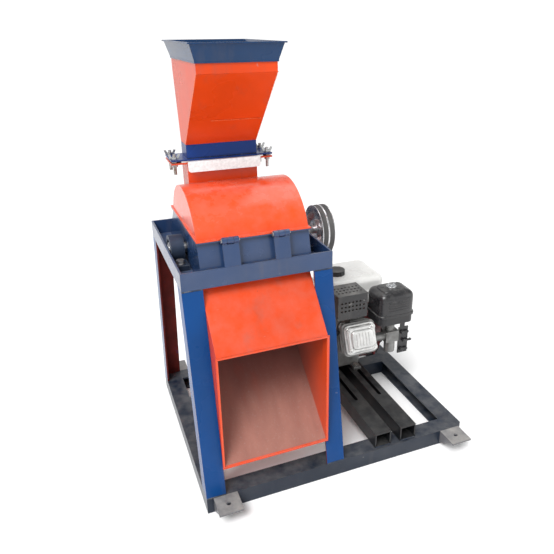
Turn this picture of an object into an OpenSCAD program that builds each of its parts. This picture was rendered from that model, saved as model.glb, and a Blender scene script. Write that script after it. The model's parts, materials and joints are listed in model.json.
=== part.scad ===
// Hammer mill on a welded stand, driven by a small petrol engine on the same base.
// Millimetres. X runs along the rotor shaft with the belt side positive, the
// discharge mouth faces minus Y, Z is up, and the origin is the middle of the
// base on the floor.

/* [Base] */
// Width of the base along the shaft
base_width = 770; // [760:5:800]
// Depth of the base from front to back
base_depth = 610; // [610:5:630]
// Height of the base and upper frame sections
rail_height = 45; // [45:1:50]
// Width of the base sections
rail_width = 50; // [50:1:54]
// Wall of the rolled sections
section_wall = 5; // [5:0.5:6]
// Side of a square bolt-down lug
lug_side = 62; // [56:2:70]

/* [Stand] */
// Width of the stand over its posts
stand_width = 380; // [380:2:390]
// Height of the top of the upper frame
stand_top = 621; // [610:1:640]
// How far each post leans in from foot to top
post_lean = 94; // [90:1:96]
// Side of the post angle iron
post_side = 50; // [46:1:50]

/* [Mill] */
// Distance of the rotor shaft behind the front of the base
shaft_back = 275; // [274:1:282]
// Outside radius of the round cover
drum_radius = 158; // [156:1:164]
// Length of the grinding chamber over its end plates
drum_length = 279; // [277:1:279]
// Height of the cover joint above the shaft
split_rise = 61.5; // [58:0.5:66]
// Thickness of the housing plates
plate = 3; // [2.5:0.5:3]
// Inside radius of the sieve
screen_radius = 137.2; // [137.2:0.2:138.6]
// Diameter of a sieve hole
sieve_hole = 10; // [6:1:12]

/* [Rotor] */
// Radius of the circle the hammer pins stand on
pin_circle = 78; // [76:1:79]
// Distance from the hammer pin to the hammer tip
hammer_reach = 54; // [50:1:54]
// Width of a hammer
hammer_width = 36; // [30:1:36]
// Thickness of a hammer
hammer_thickness = 6; // [5:0.5:8]
// Radius of a rotor disc
disc_radius = 95; // [92:1:98]

/* [Drive] */
// Pitch radius of the mill pulley
mill_pitch = 62.5; // [60:0.5:64]
// Pitch radius of the engine pulley
engine_pitch = 50; // [46:0.5:52]
// Middle of the belt drive along the shaft
belt_x = 424; // [423:1:426]
// Distance of the engine crankshaft behind the front of the base
crank_back = 421; // [418:1:426]
// Height of the crankshaft above the engine feet
crank_height = 106; // [104:1:108]

/* [Feed] */
// Width of the hopper and its neck
hopper_width = 180; // [170:5:190]
// Height of the sloping part of the hopper
hopper_drop = 176; // [160:2:200]
// Depth of the hopper at its top
hopper_depth = 273; // [260:1:290]
// Thickness of the hopper sheet
sheet = 2.5; // [2:0.5:3]
// How far the slide gate pulls out
gate_travel = 66; // [50:1:66]

/* [Chute] */
// Height of the lower edge of the discharge mouth
mouth_low = 125; // [120:1:135]
// Height of the upper edge of the discharge mouth
mouth_high = 437; // [420:1:440]

/* [Hidden] */
$fn = 96;
touch = 0.3;
fit = 0.05;
hairline = 0.5;
over = 1;

frame_low = stand_top - rail_height;
seat_z = frame_low + section_wall;
bearing_height = 36.5;
bearing_inset = 25;
shaft_y = shaft_back;
shaft_z = seat_z + bearing_height;
split_z = shaft_z + split_rise;
stand_front = post_lean;
stand_back = base_depth - post_lean;
drum_x0 = stand_width / 2 - drum_length / 2;
drum_x1 = drum_x0 + drum_length;
half_chord = sqrt(pow(drum_radius, 2) - pow(split_rise, 2));
split_front = shaft_y - half_chord;
split_back = shaft_y + half_chord;
low_front = stand_front + section_wall + 4;
low_back = stand_back - section_wall - 4;
side_shelf = 50;
end_shelf = 35;
lower_radius = 149;
cover_z = split_z + touch;
rim_out = 10;
rim_back = 22;

bearing_bolt_spread = 52.5;
bearing_width = 38;
journal = 12.5;
shaft_radius = 15;
disc_count = 5;
disc_thickness = 6;
rotor_x0 = drum_x0 + 19.5;
rotor_x1 = drum_x1 - 19.5;
disc_step = (rotor_x1 - rotor_x0 - disc_thickness) / (disc_count - 1);
bay = disc_step - disc_thickness;
pin_radius = 6;
row_count = 4;

belt_spread = 18;
belt_depth = 8;
belt_top = 6.5;
belt_bottom = 4;
belt_slack = 0.47;
pulley_width = 36;
pulley_lip = 4;
groove_floor = 7;

tube_width = 50;
tube_height = 45;
tube_wall = 4;
tube_x = [480, 560];
tube_front = 8;
deck_z = rail_height + tube_height;
crank_y = crank_back;
crank_z = deck_z + crank_height;
cylinder_tilt = 20;
cylinder_x = 541;
head_at = 169;
engine_bolt_spread = 84;

neck_x0 = 77;
neck_x1 = neck_x0 + hopper_width;
neck_y0 = 302;
neck_y1 = 372;
throat_back = 362;
flange_z = stand_top + 203;
flange_thickness = 4;
gate_z = flange_z + flange_thickness;
gate_slot = 4;
collar_z = gate_z + gate_slot;
hopper_z = collar_z + 38;
bend_z = hopper_z + hopper_drop;
rim_z = bend_z + 26;
hopper_y0 = 127;
hopper_y1 = hopper_y0 + hopper_depth;
ear = 40;
ear_bolt = 30;

hinge_y = split_front - rim_out - 9.5;
hinge_z = cover_z + 1.5;
hinge_x = [105, 231];
hinge_length = 40;
knuckle = 8;
hinge_pin = 3.5;

chute_x0 = drum_x0;
chute_x1 = drum_x1;
mouth_y = 5;
chute_back = 470;
chute_shelf = 520;

paint_navy = [0.10, 0.19, 0.38];
paint_blue = [0.16, 0.27, 0.48];
paint_orange = [0.95, 0.38, 0.16];
steel_grey = [0.55, 0.57, 0.60];
steel_dark = [0.30, 0.31, 0.33];
zinc = [0.75, 0.77, 0.78];
iron = [0.33, 0.38, 0.42];
rubber = [0.08, 0.08, 0.08];
black = [0.07, 0.07, 0.08];
alloy = [0.70, 0.71, 0.70];
engine_red = [0.62, 0.08, 0.07];
tank_white = [0.90, 0.90, 0.88];

// Moves a piece drawn from the front left corner of the base to the shared origin.
module placed() {
  translate([-base_width / 2, -base_depth / 2, 0]) children();
}

// Runs a Y-Z outline from one X to another.
module along_x(x0, x1) {
  translate([x0, 0, 0]) rotate([90, 0, 90]) linear_extrude(x1 - x0) children();
}

// Runs an X-Z outline from one Y to another.
module along_y(y0, y1) {
  translate([0, y1, 0]) rotate([90, 0, 0]) linear_extrude(y1 - y0) children();
}

// Turns the local Z axis onto X at a point of the Y-Z plane.
module axle(x, y, z) {
  translate([x, y, z]) rotate([90, 0, 90]) children();
}

// Turns the local Z axis onto minus Y.
module facing_front(x, y, z) {
  translate([x, y, z]) rotate([90, 0, 0]) children();
}

module ring(outer, inner, height) {
  difference() {
    cylinder(r = outer, h = height);
    translate([0, 0, -over]) cylinder(r = inner, h = height + 2 * over);
  }
}

module round_rect(width, height, corner) {
  translate([-width / 2, -height / 2 + corner]) square([width, height - 2 * corner]);
  translate([-width / 2 + corner, -height / 2]) square([width - 2 * corner, height]);
  for (sx = [-1, 1], sy = [-1, 1]) {
    translate([sx * (width / 2 - corner), sy * (height / 2 - corner)]) circle(r = corner);
  }
}

module hex(across, height) {
  cylinder(d = across / cos(30), h = height, $fn = 6);
}

// ---- base and stand ----

module rail(length) {
  difference() {
    cube([length, rail_width, rail_height]);
    translate([section_wall, section_wall, section_wall])
      cube([length - 2 * section_wall, rail_width, rail_height - 2 * section_wall]);
  }
}

module side_rail() {
  length = base_depth - 2 * rail_width;
  translate([0, rail_width, 0]) difference() {
    cube([rail_width, length, rail_height]);
    translate([section_wall, -over, section_wall])
      cube([rail_width, length + 2 * over, rail_height - 2 * section_wall]);
  }
}

module base_frame() color(paint_navy) placed() {
  corner_cut = 14;
  mid_y = 395;
  difference() {
    rail(base_width);
    linear_extrude(rail_height + over) polygon([
      [base_width - corner_cut, -over], [base_width + over, -over],
      [base_width + over, corner_cut]
    ]);
  }
  translate([0, base_depth, 0]) mirror([0, 1, 0]) rail(base_width);
  side_rail();
  translate([base_width, 0, 0]) mirror([1, 0, 0]) side_rail();
  translate([rail_width - section_wall, mid_y, 0]) rail(base_width - 2 * rail_width + 2 * section_wall);
}

module foot_lug() {
  lug_plate = 5;
  hole_radius = 6;
  difference() {
    translate([-lug_side / 2, -lug_side, rail_height - lug_plate])
      cube([lug_side, lug_side, lug_plate]);
    translate([0, -lug_side / 2, 0]) cylinder(r = hole_radius, h = rail_height + over);
  }
  along_x(-lug_side / 2, -lug_side / 2 + lug_plate)
    polygon([[0, 3], [0, rail_height - 2], [-lug_side + 6, rail_height - 2]]);
}

module foot_lugs() color(steel_grey) placed() {
  lug_inset = 48;
  for (x = [lug_inset, base_width - lug_inset]) {
    translate([x, 0, 0]) foot_lug();
    translate([x, base_depth, 0]) mirror([0, 1, 0]) foot_lug();
  }
}

module post() {
  along_x(0, post_side) polygon([
    [0, rail_height], [section_wall, rail_height],
    [post_lean + section_wall, frame_low], [post_lean, frame_low]
  ]);
  along_x(0, section_wall) polygon([
    [0, rail_height], [post_side, rail_height],
    [post_lean + post_side, frame_low], [post_lean, frame_low]
  ]);
}

module post_pair() {
  post();
  translate([stand_width, 0, 0]) mirror([1, 0, 0]) post();
}

module stand_posts() color(paint_navy) placed() {
  post_pair();
  translate([0, base_depth, 0]) mirror([0, 1, 0]) post_pair();
}

module upper_frame() color(paint_blue) placed() {
  bolt_hole = 6.5;
  notch = 17;
  depth = stand_back - stand_front;
  difference() {
    translate([0, stand_front, frame_low]) cube([stand_width, depth, rail_height]);
    translate([section_wall, stand_front + section_wall, seat_z])
      cube([stand_width - 2 * section_wall, depth - 2 * section_wall, rail_height]);
    translate([side_shelf, stand_front + end_shelf, 0])
      cube([stand_width - 2 * side_shelf, depth - 2 * end_shelf, stand_top]);
    for (x = [bearing_inset, stand_width - bearing_inset], s = [-1, 1]) {
      translate([x, shaft_y + s * bearing_bolt_spread, 0]) cylinder(r = bolt_hole, h = stand_top);
    }
    axle(stand_width - section_wall - over, shaft_y, shaft_z)
      cylinder(r = notch, h = section_wall + 2 * over);
    translate([stand_width - section_wall - over, shaft_y - notch, shaft_z])
      cube([section_wall + 2 * over, 2 * notch, rail_height]);
  }
}

module engine_rails() color(steel_dark) placed() {
  slot_half = 5.5;
  front_slot = [176, 356];
  back_slot = [470, 560];
  length = base_depth - 2 * tube_front;
  for (x = tube_x) {
    difference() {
      translate([x, tube_front, rail_height]) cube([tube_width, length, tube_height]);
      translate([x + tube_wall, 0, rail_height + tube_wall])
        cube([tube_width - 2 * tube_wall, base_depth, tube_height - 2 * tube_wall]);
      for (slot = [front_slot, back_slot]) {
        translate([x + tube_width / 2 - slot_half, slot[0], deck_z - tube_wall - over])
          cube([2 * slot_half, slot[1] - slot[0], tube_wall + 2 * over]);
        for (y = slot) {
          translate([x + tube_width / 2, y, deck_z - tube_wall - over])
            cylinder(r = slot_half, h = tube_wall + 2 * over);
        }
      }
    }
  }
}

// ---- grinding chamber ----

module end_plate_outline() {
  seal_hole = 18;
  difference() {
    union() {
      polygon([
        [low_front, seat_z], [low_back, seat_z],
        [split_back, split_z], [split_front, split_z]
      ]);
      intersection() {
        translate([shaft_y, shaft_z]) circle(r = lower_radius);
        square([base_depth, seat_z + over]);
      }
    }
    translate([shaft_y, shaft_z]) circle(r = seal_hole);
  }
}

module split_rim(z, inner_gap) {
  side_out = 3;
  difference() {
    translate([drum_x0 - side_out, split_front - rim_out, z])
      cube([drum_length + 2 * side_out, 2 * half_chord + rim_out + rim_back, plate]);
    translate([drum_x0 + inner_gap, split_front + inner_gap, z - over])
      cube([drum_length - 2 * inner_gap, 2 * half_chord - 2 * inner_gap, plate + 2 * over]);
  }
}

module lower_housing() color(paint_blue) placed() {
  hoop = 6;
  hoop_width = 8.5;
  ledge_z = shaft_z - 3.5;
  ledge_inner = screen_radius + 0.3;
  drop = split_z - seat_z;
  ledge_part = (ledge_z - seat_z) / drop;
  front_at = low_front + (split_front - low_front) * ledge_part;
  back_at = low_back + (split_back - low_back) * ledge_part;
  screw_hole = 5.5;
  along_x(drum_x0, drum_x0 + plate) end_plate_outline();
  along_x(drum_x1 - plate, drum_x1) end_plate_outline();
  along_x(drum_x0, drum_x1) polygon([
    [low_front, seat_z], [low_front + plate, seat_z],
    [split_front + plate, split_z], [split_front, split_z]
  ]);
  along_x(drum_x0, drum_x1) polygon([
    [low_back - plate * 1.4, seat_z], [low_back, seat_z],
    [split_back, split_z], [split_back - plate * 1.4, split_z]
  ]);
  along_x(drum_x0, drum_x1) {
    translate([front_at, ledge_z]) square([shaft_y - ledge_inner - front_at, plate]);
    translate([shaft_y + ledge_inner, ledge_z])
      square([back_at - 2 * over - shaft_y - ledge_inner, plate]);
  }
  difference() {
    split_rim(split_z - plate, plate);
    cover_screw_spots() cylinder(r = screw_hole, h = split_z);
  }
  for (x = [drum_x0 + plate, drum_x1 - plate - hoop_width]) {
    axle(0, shaft_y, shaft_z) rotate([0, 0, 182]) rotate_extrude(angle = 176)
      translate([screen_radius + 2.8, x]) square([hoop, hoop_width]);
  }
}

module cover_screw_spots() {
  for (x = [drum_x0 + 60, drum_x1 - 60]) {
    translate([x, split_back + rim_back - 10, 0]) children();
  }
}

module screen() color(steel_grey) placed() {
  column_count = 9;
  row_angles = [195 : 15 : 345];
  first_column = drum_x0 + 24;
  column_step = (drum_length - 48) / (column_count - 1);
  axle(0, shaft_y, shaft_z) difference() {
    rotate([0, 0, 182]) rotate_extrude(angle = 176)
      translate([screen_radius, drum_x0 + plate + hairline])
      square([2.8, drum_length - 2 * plate - 2 * hairline]);
    for (i = [0 : column_count - 1], a = row_angles) {
      rotate([0, 0, a]) translate([screen_radius - 4, 0, first_column + i * column_step])
        rotate([0, 90, 0]) cylinder(d = sieve_hole, h = 12, $fn = 24);
    }
  }
}

module chute_outline(inset) {
  slope = (chute_shelf - mouth_low) / (chute_back - mouth_y);
  roof_slope = (frame_low - mouth_high) / (stand_front + end_shelf - mouth_y);
  polygon([
    [mouth_y - (inset > 0 ? over : 0), mouth_low + inset * 1.35],
    [chute_back - inset, chute_shelf + inset * 0.6],
    [chute_back - inset, frame_low + (inset > 0 ? over : 0)],
    [stand_front + end_shelf + inset * 0.8, frame_low + (inset > 0 ? over : 0)],
    [mouth_y - (inset > 0 ? over : 0), mouth_high - inset * 1.5]
  ]);
}

module chute_tab(x0, x1) {
  translate([x0, chute_back - 46, frame_low - plate]) cube([x1 - x0, 40, plate]);
}

// Folded edge under the front shelf of the upper frame.
module chute_front_strip() {
  strip_front = 108;
  strip_back = 130;
  translate([chute_x0, strip_front, frame_low - plate])
    cube([drum_length, strip_back - strip_front, plate]);
}

module chute() color(paint_orange) placed() {
  fold = 3;
  notch = lower_radius + hairline;
  deflector = 60;
  difference() {
    along_x(chute_x0, chute_x1) chute_outline(0);
    along_x(chute_x0 + sheet, chute_x1 - sheet) chute_outline(sheet);
    axle(0, shaft_y, shaft_z) cylinder(r = notch, h = base_width);
  }
  difference() {
    translate([chute_x0 - fold, mouth_y - sheet, mouth_low - fold])
      cube([drum_length + 2 * fold, sheet, mouth_high - mouth_low + 2 * fold]);
    translate([chute_x0 + sheet, 0, mouth_low + sheet])
      cube([drum_length - 2 * sheet, base_depth, mouth_high - mouth_low - 2 * sheet]);
  }
  difference() {
    intersection() {
      along_x(chute_x0 + over, chute_x1 - over) chute_outline(over);
      linear_extrude(frame_low - 8) for (side = [0, 1]) {
        translate([side * stand_width, 0]) mirror([side, 0]) polygon([
          [chute_x0 + over, 250], [chute_x0 + over + sheet, 250],
          [chute_x0 + deflector + sheet, chute_back], [chute_x0 + deflector, chute_back]
        ]);
      }
    }
    axle(0, shaft_y, shaft_z) cylinder(r = notch + 6, h = base_width);
  }
  chute_front_strip();
  chute_tab(chute_x0 - 20, chute_x0 + sheet);
  chute_tab(chute_x1 - sheet, chute_x1 + 20);
}

module cover() color(paint_orange) placed() {
  shell = 2.5;
  throat = sheet;
  screw_hole = 4.05;
  difference() {
    intersection() {
      axle(drum_x0, shaft_y, shaft_z) cylinder(r = drum_radius, h = drum_length);
      translate([0, 0, cover_z]) cube([stand_width, base_depth, drum_radius]);
    }
    axle(drum_x0 + plate, shaft_y, shaft_z)
      cylinder(r = drum_radius - shell, h = drum_length - 2 * plate);
    translate([neck_x0 + throat, neck_y0 + throat, shaft_z])
      cube([hopper_width - 2 * throat, neck_y1 - neck_y0 - 2 * throat, drum_radius + over]);
  }
  difference() {
    split_rim(cover_z, plate);
    cover_screw_spots() cylinder(r = screw_hole, h = rim_z);
  }
}

// ---- hinges and cover fixings ----

module hinge_straps() color(paint_blue) placed() {
  thick = 5;
  end_knuckle = 12;
  for (x = hinge_x) {
    difference() {
      union() {
        along_x(x, x + hinge_length) polygon([
          [stand_front, stand_top], [stand_front + thick, stand_top],
          [hinge_y + 2, hinge_z - knuckle - 1], [hinge_y + 2, hinge_z - 3],
          [hinge_y - 4, hinge_z - 4], [hinge_y - 4, hinge_z - knuckle - 2]
        ]);
        axle(x, hinge_y, hinge_z) cylinder(r = knuckle, h = hinge_length);
      }
      axle(x - over, hinge_y, hinge_z) cylinder(r = hinge_pin + fit, h = hinge_length + 2 * over);
      axle(x + end_knuckle, hinge_y, hinge_z)
        cylinder(r = knuckle + 1.2, h = hinge_length - 2 * end_knuckle);
    }
  }
}

module hinge_leaves() color(paint_blue) placed() {
  gap = 12.5;
  leaf = 2.4;
  for (x = hinge_x) {
    difference() {
      union() {
        axle(x + gap, hinge_y, hinge_z) cylinder(r = knuckle, h = hinge_length - 2 * gap);
        translate([x + gap, hinge_y, cover_z + 0.2])
          cube([hinge_length - 2 * gap, split_front - rim_out - hinge_y, leaf]);
      }
      axle(x, hinge_y, hinge_z) cylinder(r = hinge_pin + fit, h = hinge_length);
    }
  }
}

module hinge_pins() color(zinc) placed() {
  head = 3;
  for (x = hinge_x) {
    axle(x - head, hinge_y, hinge_z) cylinder(r = hinge_pin, h = hinge_length + 2 * head);
    axle(x - head, hinge_y, hinge_z) cylinder(r = hinge_pin + 2, h = head - touch);
  }
}

module cover_screws() color(zinc) placed() {
  screw = 4;
  below = 6;
  cover_screw_spots() {
    translate([0, 0, cover_z - below]) cylinder(r = screw, h = below + plate + 12);
    translate([0, 0, cover_z + plate]) cylinder(r = 9, h = 2);
    translate([0, 0, cover_z + plate + 2]) wing_nut();
  }
}

// ---- feed throat, gate and hopper ----

module wing_nut() {
  cylinder(r = 6.5, h = 6);
  for (s = [-1, 1]) {
    translate([s * 9, 0, 3]) rotate([90, 0, 0]) translate([0, 0, -1.5])
      linear_extrude(3) polygon([[-5 * s, -2], [2 * s, -1], [6 * s, 9], [1 * s, 10]]);
  }
}

module ear_spots() {
  for (x = [neck_x0 - ear_bolt, neck_x1 + ear_bolt], y = [neck_y0 + 6, neck_y1 - 4]) {
    translate([x, y, 0]) children();
  }
}

module eared_flange(z) {
  lip_gap = 7;
  ear_hole = 4.5;
  difference() {
    translate([neck_x0 - ear, neck_y0 - lip_gap, z])
      cube([hopper_width + 2 * ear, neck_y1 - neck_y0 + 2 * lip_gap, flange_thickness]);
    translate([neck_x0 + sheet, neck_y0 + sheet, z - over])
      cube([hopper_width - 2 * sheet, neck_y1 - neck_y0 - 2 * sheet, flange_thickness + 2 * over]);
    ear_spots() translate([0, 0, z - over]) cylinder(r = ear_hole, h = flange_thickness + 2 * over);
  }
}

module feed_neck() color(paint_orange) placed() {
  depth = neck_y1 - neck_y0;
  difference() {
    translate([neck_x0, neck_y0, shaft_z]) cube([hopper_width, depth, flange_z - shaft_z + over]);
    translate([neck_x0 + sheet, neck_y0 + sheet, shaft_z - over])
      cube([hopper_width - 2 * sheet, depth - 2 * sheet, flange_z]);
    axle(0, shaft_y, shaft_z) cylinder(r = drum_radius, h = base_width);
  }
  eared_flange(flange_z);
}

module gate_guides() color(steel_grey) placed() {
  strip = 17;
  y0 = neck_y0 - 5;
  depth = neck_y1 - neck_y0 + 11;
  for (x = [neck_x0 - strip + 2, neck_x1 - 2]) {
    translate([x, y0, gate_z]) cube([strip, depth, gate_slot]);
  }
}

module slide_gate() color(zinc) placed() {
  clearance = 0.4;
  bent = 27;
  lip_y = neck_y0 - 16;
  lip = 3;
  bottom = gate_z + clearance;
  thick = gate_slot - 2 * clearance;
  corner = 7;
  translate([neck_x0 + 2 + clearance, lip_y, bottom])
    cube([hopper_width - 4 - 2 * clearance, neck_y1 - lip_y + 2, thick]);
  along_y(lip_y, lip_y + lip) union() {
    translate([neck_x0 - 1, bottom + thick - bent + corner])
      square([hopper_width + 6, bent - corner]);
    translate([neck_x0 - 1 + corner, bottom + thick - bent])
      square([hopper_width + 6 - 2 * corner, bent]);
    for (x = [neck_x0 - 1 + corner, neck_x1 + 5 - corner]) {
      translate([x, bottom + thick - bent + corner]) circle(r = corner);
    }
  }
}

module hopper_collar() color(paint_blue) placed() {
  depth = throat_back - neck_y0;
  eared_flange(collar_z);
  difference() {
    translate([neck_x0, neck_y0, collar_z]) cube([hopper_width, depth, hopper_z - collar_z]);
    translate([neck_x0 + sheet, neck_y0 + sheet, collar_z - over])
      cube([hopper_width - 2 * sheet, depth - 2 * sheet, hopper_z]);
  }
  translate([neck_x0, throat_back - sheet, collar_z])
    cube([hopper_width, neck_y1 - throat_back + sheet, flange_thickness]);
}

module hopper_outline(inset) {
  end = inset > 0 ? over : 0;
  slant = inset * 1.35;
  polygon([
    [neck_y0 + slant, hopper_z - end], [throat_back - inset, hopper_z - end],
    [hopper_y1 - inset, bend_z], [hopper_y1 - inset, rim_z + end],
    [hopper_y0 + inset, rim_z + end], [hopper_y0 + inset, bend_z]
  ]);
}

module hopper_body() color(paint_orange) placed() {
  difference() {
    along_x(neck_x0, neck_x1) hopper_outline(0);
    along_x(neck_x0 + sheet, neck_x1 - sheet) hopper_outline(sheet);
  }
}

// Outline of the rim seen from one side, its walls leaning out towards the lip.
module rim_outline(low, high, foot, top, skin) {
  lean = 11 / 36;
  flare = lean * (top - foot);
  polygon([
    [low - skin, foot], [high + skin, foot],
    [high + flare + skin, top], [low - flare - skin, top]
  ]);
}

module rim_solid(skin, top) {
  intersection() {
    along_y(0, base_depth) rim_outline(neck_x0, neck_x1, rim_z, top, skin);
    along_x(0, base_width) rim_outline(hopper_y0, hopper_y1, rim_z, top, skin);
  }
}

module hopper_rim() color(paint_navy) placed() {
  skin = 2.5;
  skirt = 5;
  lip = 17;
  lip_thickness = 3;
  top = rim_z + 36;
  difference() {
    union() {
      rim_solid(skin, top);
      translate([neck_x0 - skin, hopper_y0 - skin, rim_z - skirt])
        cube([hopper_width + 2 * skin, hopper_depth + 2 * skin, skirt]);
      translate([neck_x0 - lip, hopper_y0 - lip, top - lip_thickness])
        cube([hopper_width + 2 * lip, hopper_depth + 2 * lip, lip_thickness]);
    }
    rim_solid(0, top + over);
    translate([neck_x0, hopper_y0, rim_z - skirt - over])
      cube([hopper_width, hopper_depth, skirt + 2 * over]);
  }
}

module flange_bolts() color(zinc) placed() {
  screw = 4;
  hanging = 26;
  nut = 6.5;
  ear_spots() {
    translate([0, 0, flange_z - hanging])
      cylinder(r = screw, h = hanging + 2 * flange_thickness + gate_slot + 12);
    translate([0, 0, flange_z - nut]) hex(13, nut);
    translate([0, 0, gate_z]) cylinder(r = 7, h = gate_slot);
  }
}

module wing_nuts() color(zinc) placed() {
  top = collar_z + flange_thickness;
  ear_spots() difference() {
    translate([0, 0, top]) wing_nut();
    translate([0, 0, top - over]) cylinder(r = 4, h = 20);
  }
}

// ---- bearings, shaft and rotor ----

module bearing_housing() {
  base_length = 140;
  base_thickness = 14;
  ring_radius = 35;
  seat = 26;
  difference() {
    union() {
      translate([-bearing_width / 2, -base_length / 2, -bearing_height])
        cube([bearing_width, base_length, base_thickness]);
      axle(-bearing_width / 2 + 2, 0, 0) cylinder(r = ring_radius, h = bearing_width - 4);
      translate([-bearing_width / 2 + 4, -30, -bearing_height])
        cube([bearing_width - 8, 60, bearing_height]);
    }
    axle(-bearing_width, 0, 0) cylinder(r = seat, h = 2 * bearing_width);
    for (s = [-1, 1]) {
      translate([0, s * bearing_bolt_spread, -bearing_height - over])
        cylinder(r = 6.5, h = base_thickness + 2 * over);
    }
  }
}

module bearing_spots() {
  for (x = [bearing_inset, stand_width - bearing_inset]) {
    translate([x, shaft_y, shaft_z]) children();
  }
}

module bearing_housings() color(iron) placed() {
  bearing_spots() bearing_housing();
}

module bearing_inserts() color(steel_grey) placed() {
  width = 17;
  bearing_spots() axle(-width / 2, 0, 0) ring(26, 17.3, width);
}

module bearing_inner_rings() color(zinc) placed() {
  width = 34;
  bearing_spots() axle(-width / 2, 0, 0) ring(17, journal, width);
}

module bearing_bolts() color(zinc) placed() {
  base_thickness = 14;
  top = seat_z + base_thickness;
  bearing_spots() for (s = [-1, 1]) {
    translate([0, s * bearing_bolt_spread, -shaft_z]) {
      translate([0, 0, frame_low - 14]) cylinder(r = 6, h = top - frame_low + 16);
      translate([0, 0, top]) cylinder(r = 12, h = 2);
      translate([0, 0, top + 2]) hex(19, 8);
      translate([0, 0, frame_low - 10]) hex(19, 10);
    }
  }
}

module rotor_shaft() color(steel_grey) placed() {
  left_end = 5.6;
  shoulder = 5.5;
  key_height = 2.5;
  right_end = belt_x + pulley_width / 2 + 6;
  axle(left_end, shaft_y, shaft_z) cylinder(r = journal, h = right_end - left_end);
  axle(drum_x0 + shoulder, shaft_y, shaft_z)
    cylinder(r = shaft_radius, h = drum_length - 2 * shoulder);
  translate([belt_x - 14, shaft_y - 4, shaft_z + journal - 1]) cube([28, 8, key_height + 1]);
}

module at_pins() {
  for (i = [0 : row_count - 1]) {
    rotate([0, 0, i * 360 / row_count]) translate([pin_circle, 0, 0]) children();
  }
}

module rotor_discs() color(steel_dark) placed() {
  for (i = [0 : disc_count - 1]) {
    axle(rotor_x0 + i * disc_step, shaft_y, shaft_z) difference() {
      ring(disc_radius, shaft_radius, disc_thickness);
      at_pins() translate([0, 0, -over]) cylinder(r = pin_radius, h = disc_thickness + 2 * over);
    }
  }
}

module hammer_pins() color(steel_grey) placed() {
  head = 4;
  axle(rotor_x0 - head, shaft_y, shaft_z) at_pins() {
    cylinder(r = pin_radius, h = rotor_x1 - rotor_x0 + 2 * head);
    cylinder(r = pin_radius + 3, h = head);
    translate([0, 0, rotor_x1 - rotor_x0 + head]) cylinder(r = pin_radius + 3, h = head);
  }
}

function row_offset(row) = 7 + row * (bay - 14 - hammer_thickness) / (row_count - 1);
function row_angle(row) = row * 360 / row_count;
function bay_start(i) = rotor_x0 + disc_thickness + i * disc_step;

module at_row(row) {
  a = row_angle(row);
  translate([0, shaft_y + pin_circle * cos(a), shaft_z + pin_circle * sin(a)]) children();
}

module hammer_spacers() color(steel_grey) placed() {
  sleeve = 10;
  for (row = [0 : row_count - 1], i = [0 : disc_count - 2]) {
    left = row_offset(row) - touch;
    right = bay - row_offset(row) - hammer_thickness - touch;
    at_row(row) {
      axle(bay_start(i), 0, 0) ring(sleeve, pin_radius, left);
      axle(bay_start(i) + bay - right, 0, 0) ring(sleeve, pin_radius, right);
    }
  }
}

module hammer() {
  above = 15;
  half = hammer_width / 2;
  difference() {
    union() {
      translate([-half, -hammer_reach]) square([hammer_width, hammer_reach]);
      translate([-half + 8, -over]) square([hammer_width - 16, above + over]);
      for (s = [-1, 1]) translate([s * (half - 8), 0]) scale(1) circle(r = 8);
    }
    circle(r = pin_radius + 0.08);
  }
}

module hammer_row(row) {
  for (i = [0 : disc_count - 2]) {
    at_row(row) translate([bay_start(i) + row_offset(row), 0, 0])
      along_x(0, hammer_thickness) hammer();
  }
}

module hammers_a() color(steel_dark) placed() hammer_row(0);
module hammers_b() color(steel_dark) placed() hammer_row(1);
module hammers_c() color(steel_dark) placed() hammer_row(2);
module hammers_d() color(steel_dark) placed() hammer_row(3);

// ---- belt drive ----

module groove(pitch) {
  wall_slope = (belt_top - belt_bottom) / belt_depth;
  low = -groove_floor;
  high = pulley_lip + over;
  half_low = belt_bottom + wall_slope * (low + belt_depth / 2) + belt_slack;
  half_high = belt_bottom + wall_slope * (high + belt_depth / 2) + belt_slack;
  rotate_extrude() polygon([
    [pitch + low, -half_low], [pitch + high, -half_high],
    [pitch + high, half_high], [pitch + low, half_low]
  ]);
}

module v_pulley(pitch, bore, hub) {
  face = 10;
  difference() {
    cylinder(r = pitch + pulley_lip, h = pulley_width);
    for (s = [-1, 1]) {
      translate([0, 0, pulley_width / 2 + s * belt_spread / 2]) groove(pitch);
    }
    for (z = [-over, pulley_width - face]) {
      translate([0, 0, z]) ring(pitch - groove_floor - 6, hub, face + over);
    }
    translate([0, 0, -over]) cylinder(r = bore, h = pulley_width + 2 * over);
  }
}

module mill_pulley() color(steel_grey) placed() {
  difference() {
    axle(belt_x - pulley_width / 2, shaft_y, shaft_z) v_pulley(mill_pitch, journal, 26);
    translate([belt_x - pulley_width, shaft_y - 4, shaft_z])
      cube([2 * pulley_width, 8, journal + 2.6]);
  }
}

module engine_pulley() color(steel_grey) placed() {
  axle(belt_x - pulley_width / 2, crank_y, crank_z) v_pulley(engine_pitch, 10, 22);
}

function arc_points(y, z, radius, from, to, steps) = [
  for (i = [0 : steps])
    let (a = from + (to - from) * i / steps)
    [y + radius * cos(a), z + radius * sin(a)]
];

module belt_outline(rise) {
  run_y = crank_y - shaft_y;
  run_z = crank_z - shaft_z;
  centres = sqrt(pow(run_y, 2) + pow(run_z, 2));
  heading = atan2(run_z, run_y);
  tangent = acos((mill_pitch - engine_pitch) / centres);
  polygon(concat(
    arc_points(shaft_y, shaft_z, mill_pitch + rise, heading + tangent, heading + 360 - tangent, 48),
    arc_points(crank_y, crank_z, engine_pitch + rise, heading - tangent, heading + tangent, 48)
  ));
}

module belt_layer(half_width, low) {
  along_x(-half_width, half_width) difference() {
    belt_outline(belt_depth / 2);
    belt_outline(low);
  }
}

module belt_loop() {
  belt_layer(belt_bottom, -belt_depth / 2);
  belt_layer((belt_bottom + belt_top) / 2, 0);
}

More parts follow.
